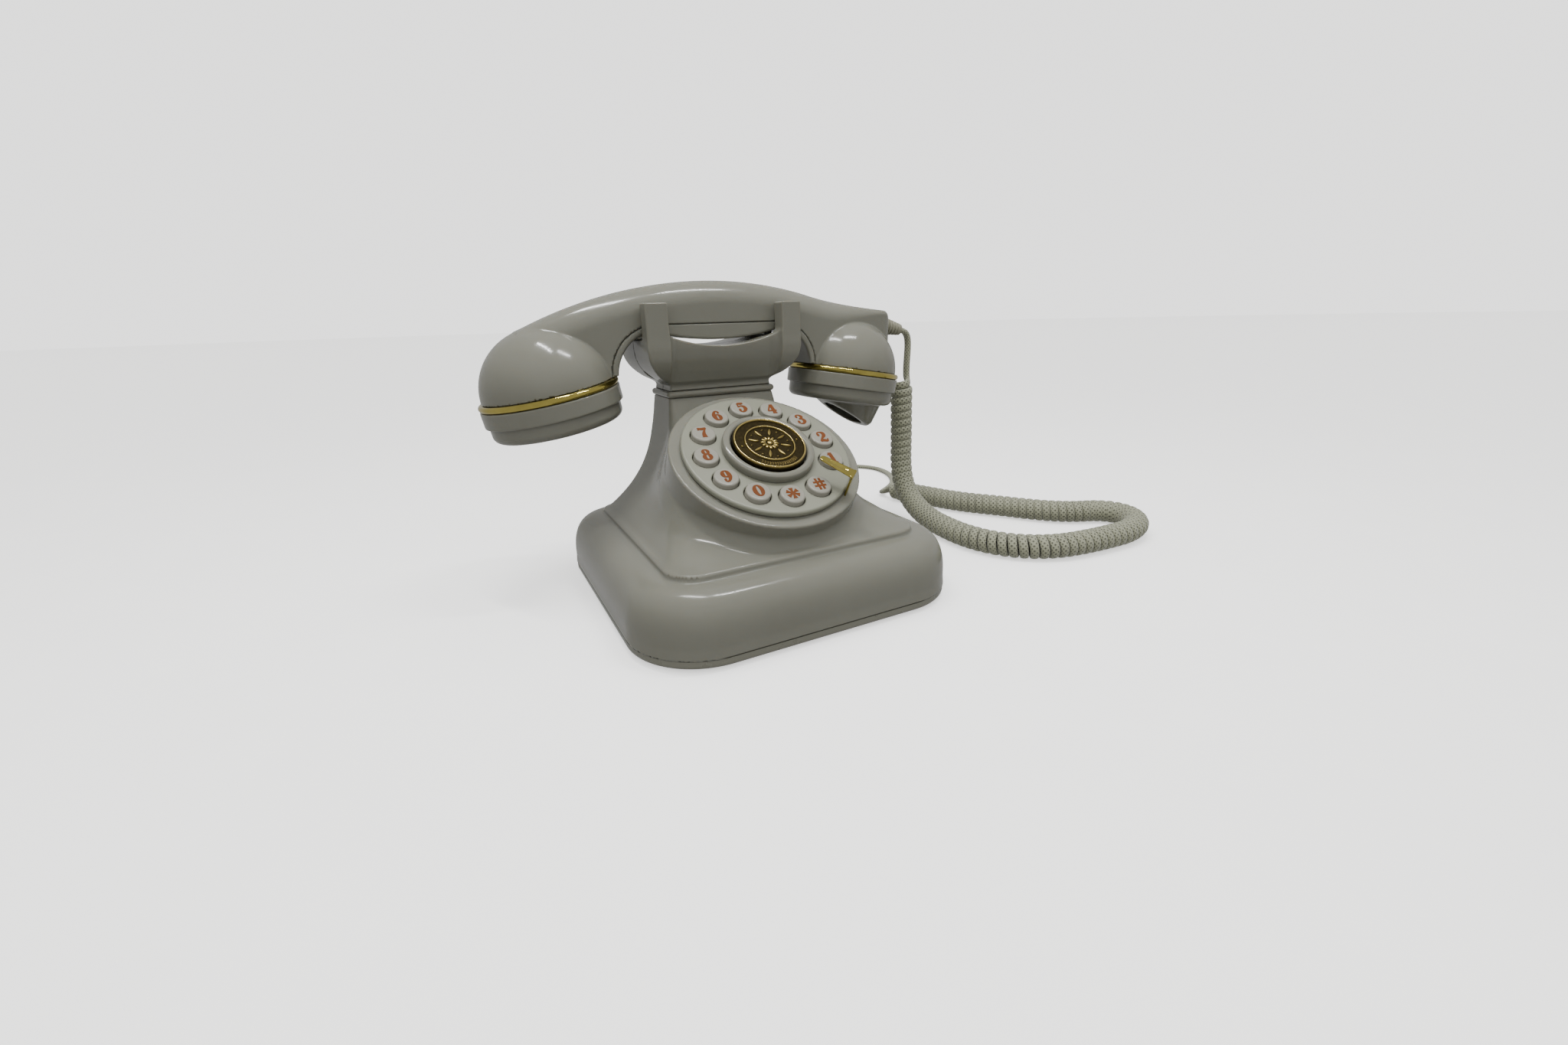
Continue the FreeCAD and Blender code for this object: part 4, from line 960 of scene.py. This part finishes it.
def add_dial():
    skin("dial_face", plate_shape, (-42, -42, -6), (42, 42, -1), 0.5, "base", "cream", ["dial_plate"], DIAL)
    points, faces = lathe(ring_around(), 200, closed=True)
    add_mesh("centre_rim", points, faces, "base", "ivory", ["centre_ring"], DIAL)
    add_medallion()
    skin("stop_arm", stop_shape, (14, -38, -11), (32, -16, 10), 0.3, "base", "gold", ["finger_stop"], DIAL)
    cap_points, cap_faces = lathe(button_profile(), 72)
    for i, name in enumerate(BUTTON_NAMES):
        place = DIAL @ Matrix.Translation((*button_spot(i), 0))
        add_mesh("key_cap_" + name, cap_points, cap_faces, "key_" + name, "button", ["button_" + name], place)
        points, faces = numeral_mesh(name)
        ink = add_mesh("numeral_" + name, points, faces, "key_" + name, "ink", (), place)
        ink.data.shade_flat()


# -------- cord

STRAND_WIDTH, STRAND_THICK, COIL_R, COIL_START_R = 4.9, 3.2, 5.4, 3.2
AXIS_STEP, TURN_STEPS, GIRTH = 0.5, 30, 12.6
HANDSET_TAIL = [(126.71, 40.3, 122.76), (129.9, 40.3, 122.1), (132.3, 40.3, 120.2),
                (133.6, 40.3, 117.0), (133.9, 40.3, 111.5), (133.6, 40.3, 105.5),
                (133.4, 40.3, 100.0), (133.4, 40.3, 94.0)]
COIL_ROUTE = [(130.2, 40.3, 94.0), (130.2, 40.3, 80), (130.9, 40.3, 64), (131.3, 40.2, 50),
              (131.0, 39.5, 37), (130, 35, 24), (129, 23, 13.6), (127.7, 6, 8.2),
              (126.3, -14, 7.1), (126.3, -31, 7.1), (131, -47, 7.1), (141, -60, 7.1),
              (156, -68.5, 7.1), (174, -71.8, 7.1), (193, -73.3, 7.1), (211, -73.6, 7.1),
              (228, -68.5, 7.1), (237.6, -57.5, 7.1), (238.4, -45, 7.1), (230, -36.5, 7.1),
              (219, -32.6, 7.1), (206.5, -23.2, 7.1), (196, -9.3, 7.1), (187, 5.2, 7.1),
              (177, 18.2, 7.1), (169, 33.2, 7.1), (163, 51, 7.1), (156.8, 67, 7.1),
              (151, 77.5, 7.1)]
BASE_TAIL = [(151, 77.5, 5.6), (149.6, 81.4, 4.6), (151.4, 86.0, 3.2), (156, 90.4, 2.1),
             (163.5, 95.5, 1.8), (175, 103.5, 1.8), (187, 118, 1.8), (195.5, 137, 1.8), (197, 157, 1.8),
             (187, 172, 1.8), (168, 180, 1.8), (145, 181, 1.8), (122, 176, 1.8),
             (101, 165, 1.8), (83, 150, 1.8), (69, 131, 3.6), (60.5, 111, 7.4),
             (57.4, 96.5, 11.2), (57, 87, 12.0)]


def spline_points(route, resolution):
    """Even points read from the route's own NURBS spline."""
    curve = bpy.data.curves.new("route", "CURVE")
    curve.dimensions = "3D"
    spline = curve.splines.new("NURBS")
    spline.points.add(len(route) - 1)
    for point, spot in zip(spline.points, route):
        point.co = (*spot, 1)
    spline.order_u = 3
    spline.use_endpoint_u = True
    spline.resolution_u = resolution
    holder = bpy.data.objects.new("route", curve)
    mesh = bpy.data.meshes.new_from_object(holder)
    points = np.array([v.co[:] for v in mesh.vertices])
    for item, kind in ((holder, bpy.data.objects), (curve, bpy.data.curves), (mesh, bpy.data.meshes)):
        kind.remove(item)
    return points


def resample(points, spacing):
    reach = np.concatenate([[0], np.cumsum(np.linalg.norm(np.diff(points, axis=0), axis=1))])
    count = max(2, int(round(reach[-1] / spacing)) + 1)
    at = np.linspace(0, reach[-1], count)
    return np.stack([np.interp(at, reach, points[:, k]) for k in range(3)], 1)


def smoothed(values, count):
    kernel = np.ones(count) / count
    padded = np.pad(values, (count // 2, count - 1 - count // 2), mode="edge")
    return np.convolve(padded, kernel, mode="valid")


def carried_frame(line, first):
    """Two directions across the line, carried along it without twist."""
    ahead = unit(np.gradient(line, axis=0))
    across = np.empty_like(line)
    here = np.array(first, float)
    for i, direction in enumerate(ahead):
        here = here - direction * (here @ direction)
        here = here / np.linalg.norm(here)
        across[i] = here
    return ahead, across, np.cross(ahead, across)


def strand_path():
    """Centreline of the strand from the handset to the base, the direction of its thin side, and where the
    coil starts and ends."""
    axis = resample(spline_points(COIL_ROUTE, 24), AXIS_STEP)
    rows = np.arange(len(axis))
    ahead, across, up = carried_frame(axis, (1, 0, 0))
    reach = rows * AXIS_STEP
    left = reach[-1] - reach
    bend = smoothed(np.linalg.norm(np.gradient(ahead, axis=0), axis=1) / AXIS_STEP, 21)
    # turns lie close, a little apart along the front of the loop and closer again in a bend
    pitch = 4.75 + 0.55 * ease((reach - 95) / 60) * (1 - ease((reach - 250) / 50))
    pitch = pitch - 12.0 * np.minimum(bend, 0.02)
    rate = 2 * pi / smoothed(pitch, 15) * ease(reach / 7.0) * (0.15 + 0.85 * ease(left / 6.0))
    angle = np.concatenate([[0], np.cumsum((rate[1:] + rate[:-1]) / 2 * AXIS_STEP)])
    radius = COIL_START_R + (COIL_R - COIL_START_R) * ease(reach / 10.0)
    radius = radius * (0.2 + 0.8 * ease(left / 8.0))
    count = int(angle[-1] / (2 * pi) * TURN_STEPS) + 60
    # even steps along the strand rather than along the coil's axis
    weight = np.concatenate([[0], np.cumsum(np.hypot(np.diff(reach), np.diff(angle) * COIL_R))])
    at = np.interp(np.linspace(0, weight[-1], count), weight, rows)

    def read(values):
        return np.stack([np.interp(at, rows, column) for column in values.T], 1)

    a, r = np.interp(at, rows, angle)[:, None], np.interp(at, rows, radius)[:, None]
    radial = np.cos(a) * unit(read(across)) + np.sin(a) * unit(read(up))
    coil = read(axis) + radial * r
    top = resample(spline_points(HANDSET_TAIL, 16), 1.0)
    low = resample(spline_points(BASE_TAIL, 24), 1.6)[1:]
    thin_top = np.cross(unit(np.gradient(top, axis=0)), (0, -1, 0))
    thin_low = np.tile((0.0, 0.0, 1.0), (len(low), 1))
    start = len(top) - 1
    return (np.vstack([top[:-1], coil, low]), np.vstack([thin_top[:-1], radial, thin_low]),
            start, start + len(coil))


def relaxed(line, first, last, rounds):
    """Evens out the joints between the tails and the coil."""
    line = line.copy()
    for _ in range(rounds):
        middle = (line[first - 1:last - 1] + line[first + 1:last + 1]) / 2
        line[first:last] += 0.5 * (middle - line[first:last])
    return line


def add_cord():
    line, thin, tail, low = strand_path()
    line = relaxed(line, tail - 4, tail + 5, 12)
    line = relaxed(line, low - 8, low + 6, 20)
    ahead = unit(np.gradient(line, axis=0))
    thin = unit(thin - ahead * (thin * ahead).sum(1)[:, None])
    for i in range(1, len(thin)):
        if thin[i] @ thin[i - 1] < 0:
            thin[i] *= -1
    for _ in range(6):
        thin[1:-1] = thin[1:-1] + 0.5 * (thin[:-2] + thin[2:])
        thin = unit(thin - ahead * (thin * ahead).sum(1)[:, None])
    wide = np.cross(ahead, thin)
    around, power = 14, 0.78
    t = 2 * pi * np.arange(around) / around
    a = np.sign(np.cos(t)) * np.abs(np.cos(t)) ** power * STRAND_WIDTH / 2
    b = np.sign(np.sin(t)) * np.abs(np.sin(t)) ** power * STRAND_THICK / 2
    rings = line[:, None, :] + wide[:, None, :] * a[None, :, None] + thin[:, None, :] * b[None, :, None]
    count = len(line)
    i, j = np.meshgrid(np.arange(count - 1), np.arange(around), indexing="ij")
    k = (j + 1) % around
    quads = [i * around + j, i * around + k, (i + 1) * around + k, (i + 1) * around + j]
    ends = [tuple(range(around))[::-1], tuple((count - 1) * around + n for n in range(around))]
    faces = np.stack(quads, -1).reshape(-1, 4).tolist() + ends
    cord = add_mesh("cord", rings.reshape(-1, 3), faces, None, "braid",
                    ["cord_handset_tail", "cord_coil", "cord_base_tail"])
    reach = np.concatenate([[0], np.cumsum(np.linalg.norm(np.diff(line, axis=0), axis=1))])
    layer = cord.data.uv_layers.new(name="strand")
    for polygon in cord.data.polygons:
        first = cord.data.loops[polygon.loop_start].vertex_index
        for n in polygon.loop_indices:
            vertex = cord.data.loops[n].vertex_index
            turn = vertex % around
            if turn == 0 and (first % around) == around - 1:
                turn = around
            layer.data[n].uv = (reach[vertex // around], turn / around * GIRTH)
    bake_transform(cord)


# -------- CAD nodes that stay

KEPT = {
    "ivory_base": ["base_plate", "hook_yoke", "ringer_knob"],
    "rubber": ["rubber_feet", "keypad_mat"],
    "steel": ["base_screws", "cradle_screws", "ballast_plate", "handset_weight"],
    "board": ["keypad_board", "main_board"],
    "dark": ["handset_jack", "line_jack", "ringer_switch_housing", "speaker", "hook_switch",
             "receiver_capsule", "microphone_capsule"],
    "clear": ["cord_plug"],
}


def paint_kept():
    for material, names in KEPT.items():
        for name in names:
            slots = frame["nodes"][name].data.materials
            if not slots:
                slots.append(MATERIALS[material])
            for i in range(len(slots)):
                slots[i] = MATERIALS[material]


MATERIALS = make_materials()
add_camera()
add_stage()
add_base()
add_cradle()
guard_piece = add_handset()
add_dial()
add_cord()
paint_kept()
